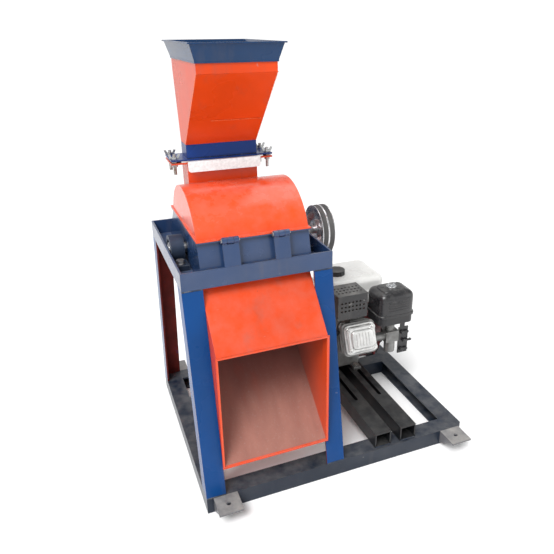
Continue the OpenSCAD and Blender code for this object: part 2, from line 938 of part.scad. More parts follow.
module drive_belts() color(rubber) placed() {
  for (s = [-1, 1]) translate([belt_x + s * belt_spread / 2, 0, 0]) belt_loop();
}

// ---- engine ----

engine_x0 = 480;
engine_x1 = 600;
fan_x0 = 608;
fan_x1 = 663;
fan_radius = 105;

module crankshaft() color(steel_grey) placed() {
  left = belt_x - pulley_width / 2 - 6;
  axle(left, crank_y, crank_z) cylinder(r = 10, h = fan_x1 - 8 - left);
  axle(fan_x0 + 8, crank_y, crank_z) cylinder(r = 88, h = 26);
  axle(fan_x0 + 34, crank_y, crank_z) cylinder(r = 40, h = 10);
}

// Tilts the local minus Y axis up to the front, along the cylinder.
module along_cylinder() {
  translate([cylinder_x, crank_y, crank_z]) rotate([-cylinder_tilt, 0, 0]) children();
}

module finned_slab(y, width, height, corner, thickness) {
  translate([0, y, 0]) rotate([90, 0, 0]) linear_extrude(thickness)
    round_rect(width, height, corner);
}

module engine_block() color(alloy) placed() {
  foot_height = 8;
  foot_width = 26;
  foot_front = crank_y - engine_bolt_spread - 15;
  foot_back = crank_y + engine_bolt_spread + 15;
  fin_count = 7;
  floor_z = deck_z + foot_height;
  difference() {
    union() {
      along_x(engine_x0, engine_x1) polygon([
        [crank_y - 74, floor_z], [crank_y + 74, floor_z], [crank_y + 82, crank_z - 45],
        [crank_y + 78, crank_z + 45], [crank_y + 36, crank_z + 84],
        [crank_y - 20, crank_z + 84], [crank_y - 84, crank_z + 62],
        [crank_y - 82, crank_z - 40]
      ]);
      axle(engine_x0 - 7, crank_y, crank_z) cylinder(r = 58, h = 8);
      axle(engine_x0 - 12, crank_y, crank_z) cylinder(r = 26, h = 8);
      for (i = [0 : 5]) rotate_about_crank(i * 60 + 30)
        translate([50, 0, engine_x0 - 10]) cylinder(r = 5, h = 6);
      for (x = tube_x) {
        translate([x + tube_width / 2 - foot_width / 2, foot_front, deck_z])
          cube([foot_width, foot_back - foot_front, foot_height + 1]);
      }
      along_cylinder() {
        rotate([90, 0, 0]) cylinder(r = 42, h = head_at);
        for (i = [0 : fin_count - 1]) finned_slab(-84 - i * 11, 102, 104, 16, 3.5);
      }
    }
    axle(0, crank_y, crank_z) cylinder(r = 10.3, h = base_width);
    for (x = tube_x, s = [-1, 1]) {
      translate([x + tube_width / 2, crank_y + s * engine_bolt_spread, deck_z - over])
        cylinder(r = 4.5, h = foot_height + 2 * over + 1);
    }
  }
}

module rotate_about_crank(angle) {
  axle(0, crank_y, crank_z) rotate([0, 0, angle]) children();
}

module cylinder_head() color(alloy) placed() {
  along_cylinder() {
    finned_slab(-head_at, 104, 104, 14, 12);
    for (i = [0 : 2]) finned_slab(-head_at - 15 - i * 6, 110, 100, 14, 2.5);
    finned_slab(-head_at - 12, 90, 84, 12, 21);
  }
}

module valve_cover() color(alloy) placed() {
  screw_x = 38;
  screw_z = 31;
  back = -head_at - 33;
  along_cylinder() {
    finned_slab(back, 102, 90, 14, 5);
    finned_slab(back - 5, 94, 80, 14, 12);
    finned_slab(back - 17, 78, 62, 16, 6);
    for (sx = [-1, 1], sz = [-1, 1]) {
      translate([sx * screw_x, back - 17, sz * screw_z]) rotate([90, 0, 0]) hex(10, 5);
    }
  }
}

module fan_housing() color(engine_red) placed() {
  wall = 4;
  inner = fan_radius - wall;
  difference() {
    union() {
      axle(engine_x1, crank_y, crank_z) cylinder(r = fan_radius, h = fan_x1 - engine_x1);
      translate([engine_x1, crank_y - fan_radius, crank_z])
        cube([fan_x1 - engine_x1, fan_radius, 96]);
    }
    axle(fan_x0, crank_y, crank_z) cylinder(r = inner, h = fan_x1 - fan_x0 - wall);
    axle(engine_x1 - over, crank_y, crank_z) cylinder(r = 14, h = base_width);
    axle(fan_x1 - wall - over, crank_y, crank_z) cylinder(r = 50, h = base_width);
  }
}

// Turns a front pull round to the rear of the crankshaft.
module rear_of_crank() {
  translate([0, 2 * crank_y, 0]) mirror([0, 1, 0]) children();
}

module recoil_starter() color(black) placed() rear_of_crank() {
  depth = 32;
  cup = 76;
  rope_x = fan_x1 + 19;
  rope_z = crank_z + 60;
  vent_count = 10;
  difference() {
    union() {
      difference() {
        axle(fan_x1, crank_y, crank_z) cylinder(r = cup, h = depth);
        axle(fan_x1 - over, crank_y, crank_z) cylinder(r = cup - 4, h = depth - 3);
      }
      translate([rope_x - 9, crank_y - 76, rope_z - 9]) cube([18, 76, 18]);
    }
    for (i = [0 : vent_count - 1]) rotate_about_crank(i * 360 / vent_count)
      translate([34, 0, fan_x1 + depth - 10]) cylinder(r = 6, h = 20);
    facing_front(rope_x, crank_y - 4, rope_z) cylinder(r = 3.2, h = 80);
  }
}

module recoil_handle() color(black) placed() rear_of_crank() {
  rope_x = fan_x1 + 19;
  rope_z = crank_z + 60;
  grip_y = crank_y - 76 - 12;
  difference() {
    union() {
      translate([rope_x, grip_y, rope_z - 26]) cylinder(r = 9, h = 52);
      for (z = [-26, 26]) translate([rope_x, grip_y, rope_z + z]) sphere(r = 9);
      facing_front(rope_x, grip_y + 11.4, rope_z) cylinder(r = 6, h = 10);
    }
    facing_front(rope_x, grip_y + 20, rope_z) cylinder(r = 2, h = 18);
  }
  facing_front(rope_x, grip_y + 78, rope_z) cylinder(r = 2.5, h = 76);
}

tank_x0 = 500;
tank_x1 = 690;
tank_y0 = 352;
tank_y1 = 520;
tank_z0 = crank_z + 112;
tank_z1 = tank_z0 + 90;
cap_x = 548;
cap_y = 420;

module fuel_tank() color(tank_white) placed() {
  mid_x = (tank_x0 + tank_x1) / 2;
  mid_y = (tank_y0 + tank_y1) / 2;
  seam = 45;
  difference() {
    union() {
      translate([mid_x, mid_y, tank_z0]) linear_extrude(tank_z1 - tank_z0)
        round_rect(tank_x1 - tank_x0, tank_y1 - tank_y0, 26);
      translate([mid_x, mid_y, tank_z0 + seam]) linear_extrude(3)
        round_rect(tank_x1 - tank_x0 + 10, tank_y1 - tank_y0 + 10, 30);
      translate([cap_x, cap_y, tank_z1]) cylinder(r = 20, h = 10);
    }
    translate([cap_x, cap_y, tank_z1 - 30]) cylinder(r = 17, h = 60);
  }
}

module fuel_cap() color(black) placed() {
  difference() {
    translate([cap_x, cap_y, tank_z1 + touch]) cylinder(r = 27, h = 17);
    translate([cap_x, cap_y, tank_z1 - over]) cylinder(r = 20.4, h = 12.5);
    for (i = [0 : 11]) translate([cap_x, cap_y, tank_z1 - over]) rotate([0, 0, i * 30])
      translate([28, 0, 0]) cylinder(r = 2.5, h = 30, $fn = 24);
  }
}

module tank_bracket() color(black) placed() {
  low = crank_z + 84;
  for (y = [crank_y - 18, crank_y + 20]) {
    translate([520, y, low]) cube([60, 14, tank_z0 - low]);
  }
  translate([512, crank_y - 22, tank_z0 - 4]) cube([76, 64, 4]);
}

cleaner_x = 660;
cleaner_y = 265;
cleaner_z = 295;
cleaner_base = 25;
cleaner_top = 80;

module air_cleaner_base() color(black) placed() {
  translate([cleaner_x, cleaner_y, cleaner_z])
    linear_extrude(cleaner_base) round_rect(118, 96, 22);
}

module air_cleaner_cover() color(black) placed() {
  rim = 8;
  translate([cleaner_x, cleaner_y, cleaner_z + cleaner_base]) {
    linear_extrude(rim) round_rect(126, 104, 24);
    translate([0, 0, rim]) linear_extrude(cleaner_top - 2 * rim) round_rect(120, 98, 26);
    translate([0, 0, cleaner_top - rim]) linear_extrude(rim) round_rect(98, 78, 24);
  }
}

module air_cleaner_nut() color(zinc) placed() {
  top = cleaner_z + cleaner_base + cleaner_top;
  translate([cleaner_x, cleaner_y, top]) ring(16, 11, 4);
  translate([cleaner_x, cleaner_y, top]) cylinder(r = 11, h = 2);
  translate([cleaner_x, cleaner_y, top + 2]) wing_nut();
}

module carburettor() color(alloy) placed() {
  carb_x = 645;
  carb_y = 243;
  carb_z = 240;
  axle(580, carb_y, carb_z + 8) cylinder(r = 13, h = 56);
  translate([carb_x - 16, carb_y - 17, carb_z - 10]) cube([44, 36, 36]);
  translate([carb_x + 6, carb_y, carb_z - 46]) cylinder(r = 17, h = 37);
  translate([carb_x + 6, carb_y, carb_z - 51]) cylinder(r = 6, h = 6);
  translate([carb_x + 6, carb_y + 3, carb_z + 25]) cylinder(r = 15, h = cleaner_z - carb_z - 25);
}

muffler_x0 = 470;
muffler_x1 = 562;
muffler_y0 = 243;
muffler_y1 = 315;
muffler_z0 = 338;
muffler_z1 = 405;

module muffler() color(steel_dark) placed() {
  pipe_low = 299;
  mid_x = (muffler_x0 + muffler_x1) / 2;
  mid_y = (muffler_y0 + muffler_y1) / 2;
  translate([mid_x, mid_y, muffler_z0]) linear_extrude(muffler_z1 - muffler_z0)
    round_rect(muffler_x1 - muffler_x0, muffler_y1 - muffler_y0, 18);
  translate([mid_x, mid_y, pipe_low]) cylinder(r = 13, h = muffler_z0 + over - pipe_low);
  axle(muffler_x0 - 14, mid_y, muffler_z1 - 20) ring(9, 7, 16);
}

module muffler_shield() color(black) placed() {
  skin = 2;
  gap = 5;
  z1 = muffler_z1 + gap;
  y0 = muffler_y0 - gap - skin;
  difference() {
    union() {
      translate([muffler_x0 - 2, y0, muffler_z0 - 4])
        cube([muffler_x1 - muffler_x0 + 4, skin, z1 - muffler_z0 + 4]);
      translate([muffler_x0 - 2, y0, z1]) cube([muffler_x1 - muffler_x0 + 4, muffler_y1 - y0, skin]);
      for (x = [muffler_x0 + 10, muffler_x1 - 18]) {
        translate([x, y0 + skin - over, muffler_z1 - 14]) cube([8, gap + over, 8]);
      }
    }
    for (i = [0 : 6], j = [0 : 2]) {
      translate([muffler_x0 + 10 + i * 12, y0 - over, muffler_z0 + 24 + j * 13])
        rotate([-90, 0, 0]) cylinder(r = 3.5, h = skin + 2 * over, $fn = 24);
      translate([muffler_x0 + 10 + i * 12, y0 + 22 + j * 16, z1 - over])
        cylinder(r = 3.5, h = skin + 2 * over, $fn = 24);
    }
  }
}

control_y = 231;
throttle_at = [694, 226];
choke_at = [686, 256];
fuel_at = [686, 196];
pivot = 3;

module control_plate() color(black) placed() {
  thick = 3;
  along_y(control_y, control_y + thick) difference() {
    union() {
      translate([675, 182]) square([34, 91]);
      translate([680, 272]) square([16, cleaner_z - 272]);
    }
    for (p = [throttle_at, choke_at, fuel_at]) translate(p) circle(r = pivot);
  }
  translate([680, control_y, cleaner_z - thick]) cube([16, 24, thick]);
  for (p = [throttle_at, choke_at, fuel_at]) {
    facing_front(p[0], control_y + thick, p[1]) cylinder(r = pivot, h = 12);
    facing_front(p[0], control_y - 7, p[1]) cylinder(r = 5, h = 2);
  }
}

module lever(at, length, width) {
  thick = 4;
  facing_front(at[0], control_y - 2, at[1]) difference() {
    union() {
      cylinder(r = width / 2 + 3, h = thick);
      translate([0, -width / 2, 0]) cube([length, width, thick]);
      translate([length, 0, 0]) cylinder(r = width / 2 + 1, h = thick);
    }
    translate([0, 0, -over]) cylinder(r = pivot + 0.08, h = thick + 2 * over);
  }
}

module throttle_lever() color(black) placed() lever(throttle_at, 22, 6);
module choke_lever() color(black) placed() lever(choke_at, 18, 7);
module fuel_lever() color(black) placed() lever(fuel_at, 17, 7);

switch_x = 628;
switch_y = 306;
switch_z = 168;

module switch_box() color(black) placed() {
  difference() {
    translate([switch_x - 18, switch_y, switch_z - 20]) cube([36, 30, 40]);
    facing_front(switch_x, switch_y + 12, switch_z) cylinder(r = 5.4, h = 20);
    axle(engine_x1, crank_y, crank_z) cylinder(r = fan_radius, h = fan_x1 - engine_x1);
  }
}

module engine_switch() color(engine_red) placed() {
  facing_front(switch_x, switch_y + 10, switch_z) cylinder(r = 5, h = 12);
  facing_front(switch_x, switch_y - touch, switch_z) cylinder(r = 12, h = 6);
  translate([switch_x - 3, switch_y - 14, switch_z - 14]) cube([6, 10, 28]);
}

module spark_plug() color(black) placed() {
  along_cylinder() translate([-56, -168, 24]) rotate([0, -90, 0]) {
    translate([0, 0, -4]) cylinder(r = 5, h = 8);
    cylinder(r = 10, h = 22);
    translate([-6, 0, 14]) rotate([90, 0, 0]) translate([0, 0, -16]) cylinder(r = 6, h = 20);
  }
}

module engine_bolts() color(zinc) placed() {
  foot_top = deck_z + 9;
  for (x = tube_x, s = [-1, 1]) {
    translate([x + tube_width / 2, crank_y + s * engine_bolt_spread, 0]) {
      translate([0, 0, foot_top]) hex(13, 6);
      translate([0, 0, deck_z - 20]) cylinder(r = 4, h = foot_top - deck_z + 22);
      translate([0, 0, deck_z - tube_wall - 2]) cylinder(r = 12, h = 2);
      translate([0, 0, deck_z - tube_wall - 9]) hex(13, 7);
    }
  }
}

base_frame();
foot_lugs();
stand_posts();
upper_frame();
engine_rails();
lower_housing();
screen();
chute();
cover();
feed_neck();
gate_guides();
slide_gate();
hopper_collar();
hopper_body();
hopper_rim();
flange_bolts();
wing_nuts();
hinge_straps();
hinge_leaves();
hinge_pins();
cover_screws();
bearing_housings();
bearing_inserts();
bearing_inner_rings();
bearing_bolts();
rotor_shaft();
rotor_discs();
hammer_pins();
hammer_spacers();
hammers_a();
hammers_b();
hammers_c();
hammers_d();
mill_pulley();
drive_belts();
engine_pulley();
crankshaft();
engine_block();
cylinder_head();
valve_cover();
fan_housing();
recoil_starter();
recoil_handle();
fuel_tank();
fuel_cap();
tank_bracket();
air_cleaner_base();
air_cleaner_cover();
air_cleaner_nut();
carburettor();
muffler();
muffler_shield();
control_plate();
throttle_lever();
choke_lever();
fuel_lever();
engine_switch();
switch_box();
spark_plug();
engine_bolts();
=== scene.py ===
"""Finishes and fine detail for a hammer mill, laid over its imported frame."""

import json
import math
import random

import bmesh
import bpy
from bpy.props import FloatProperty, FloatVectorProperty, IntProperty, PointerProperty
from mathutils import Matrix, Vector


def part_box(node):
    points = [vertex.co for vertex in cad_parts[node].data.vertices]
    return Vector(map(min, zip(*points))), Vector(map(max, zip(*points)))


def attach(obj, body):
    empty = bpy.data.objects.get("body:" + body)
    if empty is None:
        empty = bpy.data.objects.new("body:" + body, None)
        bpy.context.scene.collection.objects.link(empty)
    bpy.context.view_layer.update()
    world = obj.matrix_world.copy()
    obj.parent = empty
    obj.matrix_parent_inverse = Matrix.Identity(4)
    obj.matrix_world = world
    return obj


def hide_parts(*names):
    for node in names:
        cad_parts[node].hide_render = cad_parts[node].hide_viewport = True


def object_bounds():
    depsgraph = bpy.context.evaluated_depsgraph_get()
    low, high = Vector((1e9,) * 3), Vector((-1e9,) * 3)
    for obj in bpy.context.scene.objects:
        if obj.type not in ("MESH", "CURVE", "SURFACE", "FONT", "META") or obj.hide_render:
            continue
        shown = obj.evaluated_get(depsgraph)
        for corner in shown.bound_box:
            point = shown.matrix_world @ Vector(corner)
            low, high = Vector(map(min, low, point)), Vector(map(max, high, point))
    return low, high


bl_info = {
    "name": "Hammer Mill Finishes",
    "version": (1, 0, 0),
    "blender": (4, 5, 0),
    "location": "View3D > Sidebar > Hammer Mill",
    "description": "Paints a hammer mill and adds its welds, hems, belts and engine castings",
    "category": "Object",
}

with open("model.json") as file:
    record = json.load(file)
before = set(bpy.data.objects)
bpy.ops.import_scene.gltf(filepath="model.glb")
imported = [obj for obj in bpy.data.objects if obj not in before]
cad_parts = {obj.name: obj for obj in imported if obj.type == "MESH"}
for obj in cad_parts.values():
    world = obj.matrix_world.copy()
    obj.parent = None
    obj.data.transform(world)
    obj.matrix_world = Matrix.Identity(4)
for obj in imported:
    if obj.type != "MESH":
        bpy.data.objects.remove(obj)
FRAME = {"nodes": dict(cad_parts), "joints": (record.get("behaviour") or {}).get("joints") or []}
CAD_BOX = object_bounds()
NODES = FRAME["nodes"]
JOINTS = {j["name"]: j for j in FRAME["joints"]}
SHAFT = Vector(JOINTS["rotor_spin"]["pos_m"])
CRANK = Vector(JOINTS["crank_spin"]["pos_m"])
MOUTH_FOLD = 0.003
MOUTH_SHEET = 0.0025
CHUTE_RISE = 0.056
FRAME_SHELF = 0.035
STREAK_GRIME = (0.10, 0.085, 0.075)
CHIPPED_ORANGE = (0.05, 0.03, 0.025)
CHIPPED_GREY = (0.2, 0.19, 0.18)
BELT_SECTION = (
    (-0.0040, -0.0040), (-0.0064, 0.0036), (-0.0058, 0.0040), (0.0058, 0.0040), (0.0064, 0.0036), (0.0040, -0.0040),
)
BELT_SPREAD = 0.009
MILL_PITCH = 0.0625
ENGINE_PITCH = 0.050
CYLINDER_TILT = 20.0


# ---- settings ----


def tint(name, description, default):
    """A colour a user may change."""
    return FloatVectorProperty(
        name=name, description=description, default=default, subtype="COLOR", size=3, min=0.0, max=1.0
    )


def share(name, description, default):
    """A zero to one amount a user may change."""
    return FloatProperty(name=name, description=description, default=default, min=0.0, max=1.0, subtype="FACTOR")


def length(name, description, default):
    """A length in metres a user may change."""
    return FloatProperty(
        name=name, description=description, default=default, min=0.0, unit="LENGTH", subtype="DISTANCE"
    )


def watts(name, description, default):
    """A lamp's power a user may change."""
    return FloatProperty(name=name, description=description, default=default, min=0.0, unit="POWER")


def angle(name, description, degrees):
    """An angle a user may change."""
    return FloatProperty(name=name, description=description, default=math.radians(degrees), subtype="ANGLE")


class MillPaint(bpy.types.PropertyGroup):
    """Colours of the paint on the stand and the mill."""

    orange: tint("Orange", "Gloss orange of the cover, hopper and chute", (0.64, 0.052, 0.004))
    blue: tint("Blue", "Gloss blue of the posts", (0.001, 0.048, 0.190))
    navy: tint("Navy", "Darker blue of the rails, rim and housing", (0.004, 0.011, 0.026))
    primer: tint("Primer", "Red oxide primer inside the posts", (0.075, 0.008, 0.006))
    dust: tint("Dust", "Meal and workshop dust", (0.33, 0.32, 0.30))
    meal: tint("Meal", "Dusty film inside the chute", (0.30, 0.135, 0.105))
    # This colour is painted shade: it darkens the meal far inside the chute, where little light reaches.
    shadow_meal: tint("Meal in painted shade", "Meal film darkened as painted shade far inside the chute", (0.170, 0.050, 0.048))
    dustiness: share("Dustiness", "How much dust lies on faces that look up", 0.34)
    chipping: share("Chipping", "How far the paint is worn off along edges", 0.45)


class MillMetal(bpy.types.PropertyGroup):
    """Bare and cast metal."""

    steel: tint("Steel", "Bare turned steel", (0.42, 0.42, 0.43))
    zinc: tint("Zinc", "Zinc plated fasteners and sheet", (0.56, 0.57, 0.57))
    iron: tint("Iron", "Cast iron of the bearings and pulleys", (0.17, 0.18, 0.19))
    alloy: tint("Alloy", "Die cast engine alloy", (0.52, 0.52, 0.51))
    oxide: tint("Oxide", "Dull film in the corners of bare metal", (0.12, 0.075, 0.045))


class MillEngine(bpy.types.PropertyGroup):
    """Engine colours and rounding."""

    black: tint("Black", "Moulded and enamelled black parts", (0.012, 0.012, 0.014))
    red: tint("Red", "Fan housing enamel", (0.10, 0.006, 0.008))
    white: tint("White", "Fuel tank enamel", (0.78, 0.78, 0.76))
    tank_corner: length("Tank corner", "Radius of the tank's upright corners", 0.026)
    tank_crown: length("Tank crown", "Radius of the tank's top edge", 0.018)
    cleaner_corner: length("Air cleaner corner", "Radius of the air cleaner's corners", 0.024)
    cover_corner: length("Valve cover corner", "Radius of the valve cover's corners", 0.016)


class MillWelds(bpy.types.PropertyGroup):
    """Size of the weld beads and hems."""

    bead: length("Bead", "Half width of a weld bead", 0.0030)
    pitch: length("Pitch", "Distance between the ripples of a weld", 0.0042)
    hem: length("Hem", "Radius of the rolled hem round the discharge mouth", 0.0026)
    seed: IntProperty(name="Seed", description="Seed of the uneven weld ripples", default=7, min=0)


class MillStage(bpy.types.PropertyGroup):
    """Camera, lamps and floor."""

    lens: FloatProperty(name="Lens", description="Focal length", default=37.15, min=1.0, unit="CAMERA")
    eye: FloatVectorProperty(
        name="Eye", description="Where the camera stands", default=(-0.5705, -1.409, 1.136),
        subtype="XYZ", unit="LENGTH",
    )
    heading: angle("Heading", "Turn of the camera to the right of straight ahead", 22.0)
    pitch: angle("Downward tilt", "How far the camera looks down", 22.5)
    roll: angle("Roll", "Turn of the camera about its view", -0.3)
    floor: tint("Floor", "Pale studio floor", (0.90, 0.90, 0.90))
    key_power: watts("Key lamp", "Power of the key lamp", 34.0)
    sun: FloatProperty(name="Sun", description="Strength of the broad even light", default=2.6, min=0.0)
    air: FloatProperty(name="Air", description="Brightness of the air round the stage", default=0.48, min=0.0)
    wall: FloatProperty(name="Wall", description="Brightness of the far white wall", default=1.1, min=0.0)
    fill_power: watts("Fill lamp", "Power of the fill lamp", 16.0)
    top_power: watts("Top lamp", "Power of the lamp overhead", 30.0)


# ---- shader building ----


class Finish:
    """One material's node tree, with short ways to add its nodes."""

    def __init__(self, name):
        self.material = bpy.data.materials.new(name)
        self.material.use_nodes = True
        self.tree = self.material.node_tree
        self.tree.nodes.clear()
        self.output = self.add("ShaderNodeOutputMaterial")
        self.shader = self.add("ShaderNodeBsdfPrincipled")
        self.join(self.shader.outputs["BSDF"], self.output.inputs["Surface"])
        self.place = self.add("ShaderNodeTexCoord").outputs["Object"]
        self.facing = self.add("ShaderNodeNewGeometry").outputs["Normal"]

    def add(self, kind, **settings):
        node = self.tree.nodes.new(kind)
        for key, value in settings.items():
            setattr(node, key, value)
        return node

    def join(self, source, target):
        self.tree.links.new(source, target)

    def feed(self, socket, value):
        if isinstance(value, bpy.types.NodeSocket):
            self.join(value, socket)
        elif isinstance(value, (tuple, list, Vector)) and len(value) == 3 and socket.type == "RGBA":
            socket.default_value = (*value, 1.0)
        else:
            socket.default_value = value

    def stretched(self, scale, turn=(0.0, 0.0, 0.0)):
        node = self.add("ShaderNodeMapping")
        self.join(self.place, node.inputs["Vector"])
        node.inputs["Scale"].default_value = scale
        node.inputs["Rotation"].default_value = turn
        return node.outputs["Vector"]

    def noise(self, scale, detail=4.0, roughness=0.55, place=None):
        node = self.add("ShaderNodeTexNoise")
        self.join(place or self.place, node.inputs["Vector"])
        node.inputs["Scale"].default_value = scale
        node.inputs["Detail"].default_value = detail
        node.inputs["Roughness"].default_value = roughness
        return node.outputs["Fac"]

    def cells(self, scale):
        node = self.add("ShaderNodeTexVoronoi")
        self.join(self.place, node.inputs["Vector"])
        node.inputs["Scale"].default_value = scale
        return node.outputs["Distance"]

    def sum(self, a, b, clamp=False):
        return self.math("ADD", a, b, clamp)

    def times(self, a, b, clamp=False):
        return self.math("MULTIPLY", a, b, clamp)

    def math(self, operation, a, b=0.0, clamp=False):
        node = self.add("ShaderNodeMath", operation=operation, use_clamp=clamp)
        self.feed(node.inputs[0], a)
        self.feed(node.inputs[1], b)
        return node.outputs[0]

    def vector(self, operation, a, b=(0.0, 0.0, 0.0)):
        node = self.add("ShaderNodeVectorMath", operation=operation)
        self.feed(node.inputs[0], a)
        self.feed(node.inputs[1], b)
        return node.outputs["Value"] if operation in ("DOT_PRODUCT", "LENGTH", "DISTANCE") else node.outputs[0]

    def parts(self, value):
        node = self.add("ShaderNodeSeparateXYZ")
        self.feed(node.inputs[0], value)
        return node.outputs

    def span(self, value, low, high, bottom=0.0, top=1.0):
        node = self.add("ShaderNodeMapRange", clamp=True)
        self.feed(node.inputs["Value"], value)
        node.inputs["From Min"].default_value = low
        node.inputs["From Max"].default_value = high
        node.inputs["To Min"].default_value = bottom
        node.inputs["To Max"].default_value = top
        return node.outputs["Result"]

    def blend(self, amount, a, b):
        node = self.add("ShaderNodeMix", data_type="RGBA")
        self.feed(node.inputs[0], amount)
        self.feed(node.inputs[6], a)
        self.feed(node.inputs[7], b)
        return node.outputs[2]

    def softened(self, radius):
        node = self.add("ShaderNodeBevel", samples=4)
        node.inputs["Radius"].default_value = radius
        return node.outputs["Normal"]

    def edges(self, rounded):
        apart = self.vector("DOT_PRODUCT", rounded, self.facing)
        return self.span(apart, 0.995, 0.90)

    def bump(self, height, strength, distance, under=None):
        node = self.add("ShaderNodeBump")
        node.inputs["Strength"].default_value = strength
        node.inputs["Distance"].default_value = distance
        self.feed(node.inputs["Height"], height)
        if under is not None:
            self.join(under, node.inputs["Normal"])
        return node.outputs["Normal"]

    def done(self, colour, roughness, normal, metallic=0.0, specular=0.5, coat=0.0, coat_roughness=0.1, sheen=0.0):
        self.feed(self.shader.inputs["Base Color"], colour)
        self.feed(self.shader.inputs["Roughness"], roughness)
        self.feed(self.shader.inputs["Metallic"], metallic)
        self.join(normal, self.shader.inputs["Normal"])
        self.shader.inputs["Specular IOR Level"].default_value = specular
        self.shader.inputs["Coat Weight"].default_value = coat
        self.shader.inputs["Coat Roughness"].default_value = coat_roughness
        self.shader.inputs["Sheen Weight"].default_value = sheen
        return self.material


def shade(colour, factor):
    return tuple(min(1.0, c * factor) for c in colour)


def paint_layers(f, colour, dustiness, chipping, gloss, dust, wear_colour):
    """Colour, roughness and normal of brushed gloss paint with dust, streaks, scratches and worn edges."""
    rounded = f.softened(0.0014)
    edge = f.edges(rounded)
    broad = f.noise(5.0, 3.0)
    colour = f.blend(f.span(broad, 0.3, 0.7), shade(colour, 0.86), shade(colour, 1.10))
    streak = f.noise(16.0, 5.0, 0.6, f.stretched((1.0, 1.0, 0.10)))
    colour = f.blend(f.times(f.span(streak, 0.56, 0.80), 0.34), colour, STREAK_GRIME)
    scratch = f.noise(42.0, 3.0, 0.5, f.stretched((1.0, 14.0, 1.0), (0.5, 0.3, 0.7)))
    scratch = f.span(scratch, 0.735, 0.775)
    colour = f.blend(f.times(scratch, 0.30), colour, shade(dust, 1.1))
    mottled = f.noise(26.0, 6.0, 0.62)
    up = f.span(f.parts(f.facing)[2], 0.15, 0.95)
    lying = f.times(up, f.span(mottled, 0.30, 0.66))
    film = f.times(f.span(f.noise(9.0, 4.0), 0.45, 0.8), 0.30)
    dusty = f.times(f.sum(lying, film, True), dustiness, True)
    colour = f.blend(dusty, colour, dust)
    worn = f.times(edge, f.span(f.noise(70.0, 5.0, 0.6), 0.66 - 0.30 * chipping, 0.74 - 0.26 * chipping))
    spots = f.span(f.cells(46.0), 0.07, 0.045)
    spots = f.times(spots, f.span(f.noise(7.0, 2.0), 0.56, 0.62))
    bare = f.math("MAXIMUM", worn, f.times(spots, chipping))
    colour = f.blend(bare, colour, wear_colour)
    roughness = f.sum(f.span(broad, 0.2, 0.8, gloss, gloss + 0.10), f.times(dusty, 0.42), True)
    roughness = f.sum(roughness, f.times(bare, 0.3), True)
    peel = f.noise(190.0, 2.0, 0.5)
    waves = f.noise(11.0, 2.0)
    height = f.sum(f.times(peel, 0.16), f.sum(f.times(waves, 0.9), f.times(bare, -0.5)))
    normal = f.bump(height, 0.22, 0.0012, rounded)
    return colour, roughness, normal


def gloss_paint(
    name, colour, paint, dustiness, chipping, gloss=0.24, wear=(0.055, 0.035, 0.028), specular=0.5, coat=0.22
):
    """Brushed gloss paint of one colour."""
    f = Finish(name)
    colour, roughness, normal = paint_layers(f, tuple(colour), dustiness, chipping, gloss, tuple(paint.dust), wear)
    return f.done(colour, roughness, normal, specular=specular, coat=coat, coat_roughness=0.16)


def post_paint(name, paint, middle):
    """Blue outside and red oxide primer on the faces that look in towards the middle of the stand."""
    f = Finish(name)
    colour, roughness, normal = paint_layers(
        f, tuple(paint.blue), paint.dustiness * 0.22, paint.chipping, 0.22, tuple(paint.dust), tuple(paint.primer)
    )
    outward = f.vector("SUBTRACT", f.place, tuple(middle))
    side = f.vector("SIGN", outward)
    inward = f.vector("MULTIPLY", f.vector("MULTIPLY", side, (-1.0, -1.0, 0.0)), f.facing)
    x, y, _ = f.parts(inward)
    inside = f.math("GREATER_THAN", f.math("MAXIMUM", x, y), 0.45)
    edge = f.noise(34.0, 4.0)
    inside = f.times(inside, f.span(edge, 0.22, 0.34))
    primer = f.blend(f.span(f.noise(18.0, 5.0), 0.35, 0.7), tuple(paint.primer), shade(paint.primer, 1.9))
    colour = f.blend(inside, colour, primer)
    roughness = f.sum(roughness, f.times(inside, 0.35), True)
    return f.done(colour, roughness, normal, specular=0.18, coat=0.02, coat_roughness=0.2)


def chute_paint(name, paint, mouth, floor_back, roof_back):
    """Orange outside, and a dusty film of meal on the faces inside the channel, darkened further in as painted shade.
    """
    f = Finish(name)
    colour, roughness, normal = paint_layers(
        f, tuple(paint.orange), paint.dustiness * 0.5, paint.chipping * 0.8, 0.24, tuple(paint.dust), CHIPPED_ORANGE
    )
    x, y, z = f.parts(f.place)
    left, right, front, low, high = mouth
    skin = 0.0016
    from_middle = f.math("ABSOLUTE", f.math("SUBTRACT", x, (left + right) / 2))
    between = f.math("LESS_THAN", from_middle, (right - left) / 2 - skin)
    along = f.math("SUBTRACT", y, front)
    roof_line = f.sum(f.times(along, (roof_back.z - high) / (roof_back.y - front)), high - skin)
    floor_line = f.sum(f.times(along, (floor_back.z - low) / (floor_back.y - front)), low + skin)
    within = f.times(f.math("LESS_THAN", z, roof_line), f.math("GREATER_THAN", z, floor_line))
    inside = f.times(f.times(between, within), f.math("GREATER_THAN", along, 0.0006))
    speckle = f.noise(170.0, 6.0, 0.7)
    smear = f.noise(14.0, 5.0, 0.6, f.stretched((1.0, 0.35, 0.35), (0.7, 0.0, 0.0)))
    meal = f.blend(f.span(smear, 0.36, 0.66), shade(paint.meal, 0.80), shade(paint.meal, 1.10))
    meal = f.blend(f.times(f.span(speckle, 0.56, 0.74), 0.30), meal, tuple(paint.dust))
    upright = f.math("ABSOLUTE", f.parts(f.facing)[0])
    depth = f.span(along, 0.02, 0.22)
    # Painted shade: the meal fades to the darker shadow_meal colour further inside the channel.
    meal = f.blend(f.span(along, 0.10, 0.30), meal, tuple(paint.shadow_meal))
    near = f.math("MAXIMUM", depth, f.span(upright, 0.7, 0.3))
    cover = f.times(f.times(inside, f.span(smear, 0.18, 0.42, 0.72, 0.97)), f.span(near, 0.0, 1.0, 0.06, 1.0))
    colour = f.blend(cover, colour, meal)
    roughness = f.sum(roughness, f.times(cover, 0.5), True)
    return f.done(colour, roughness, normal, specular=0.4, coat=0.06, coat_roughness=0.2)


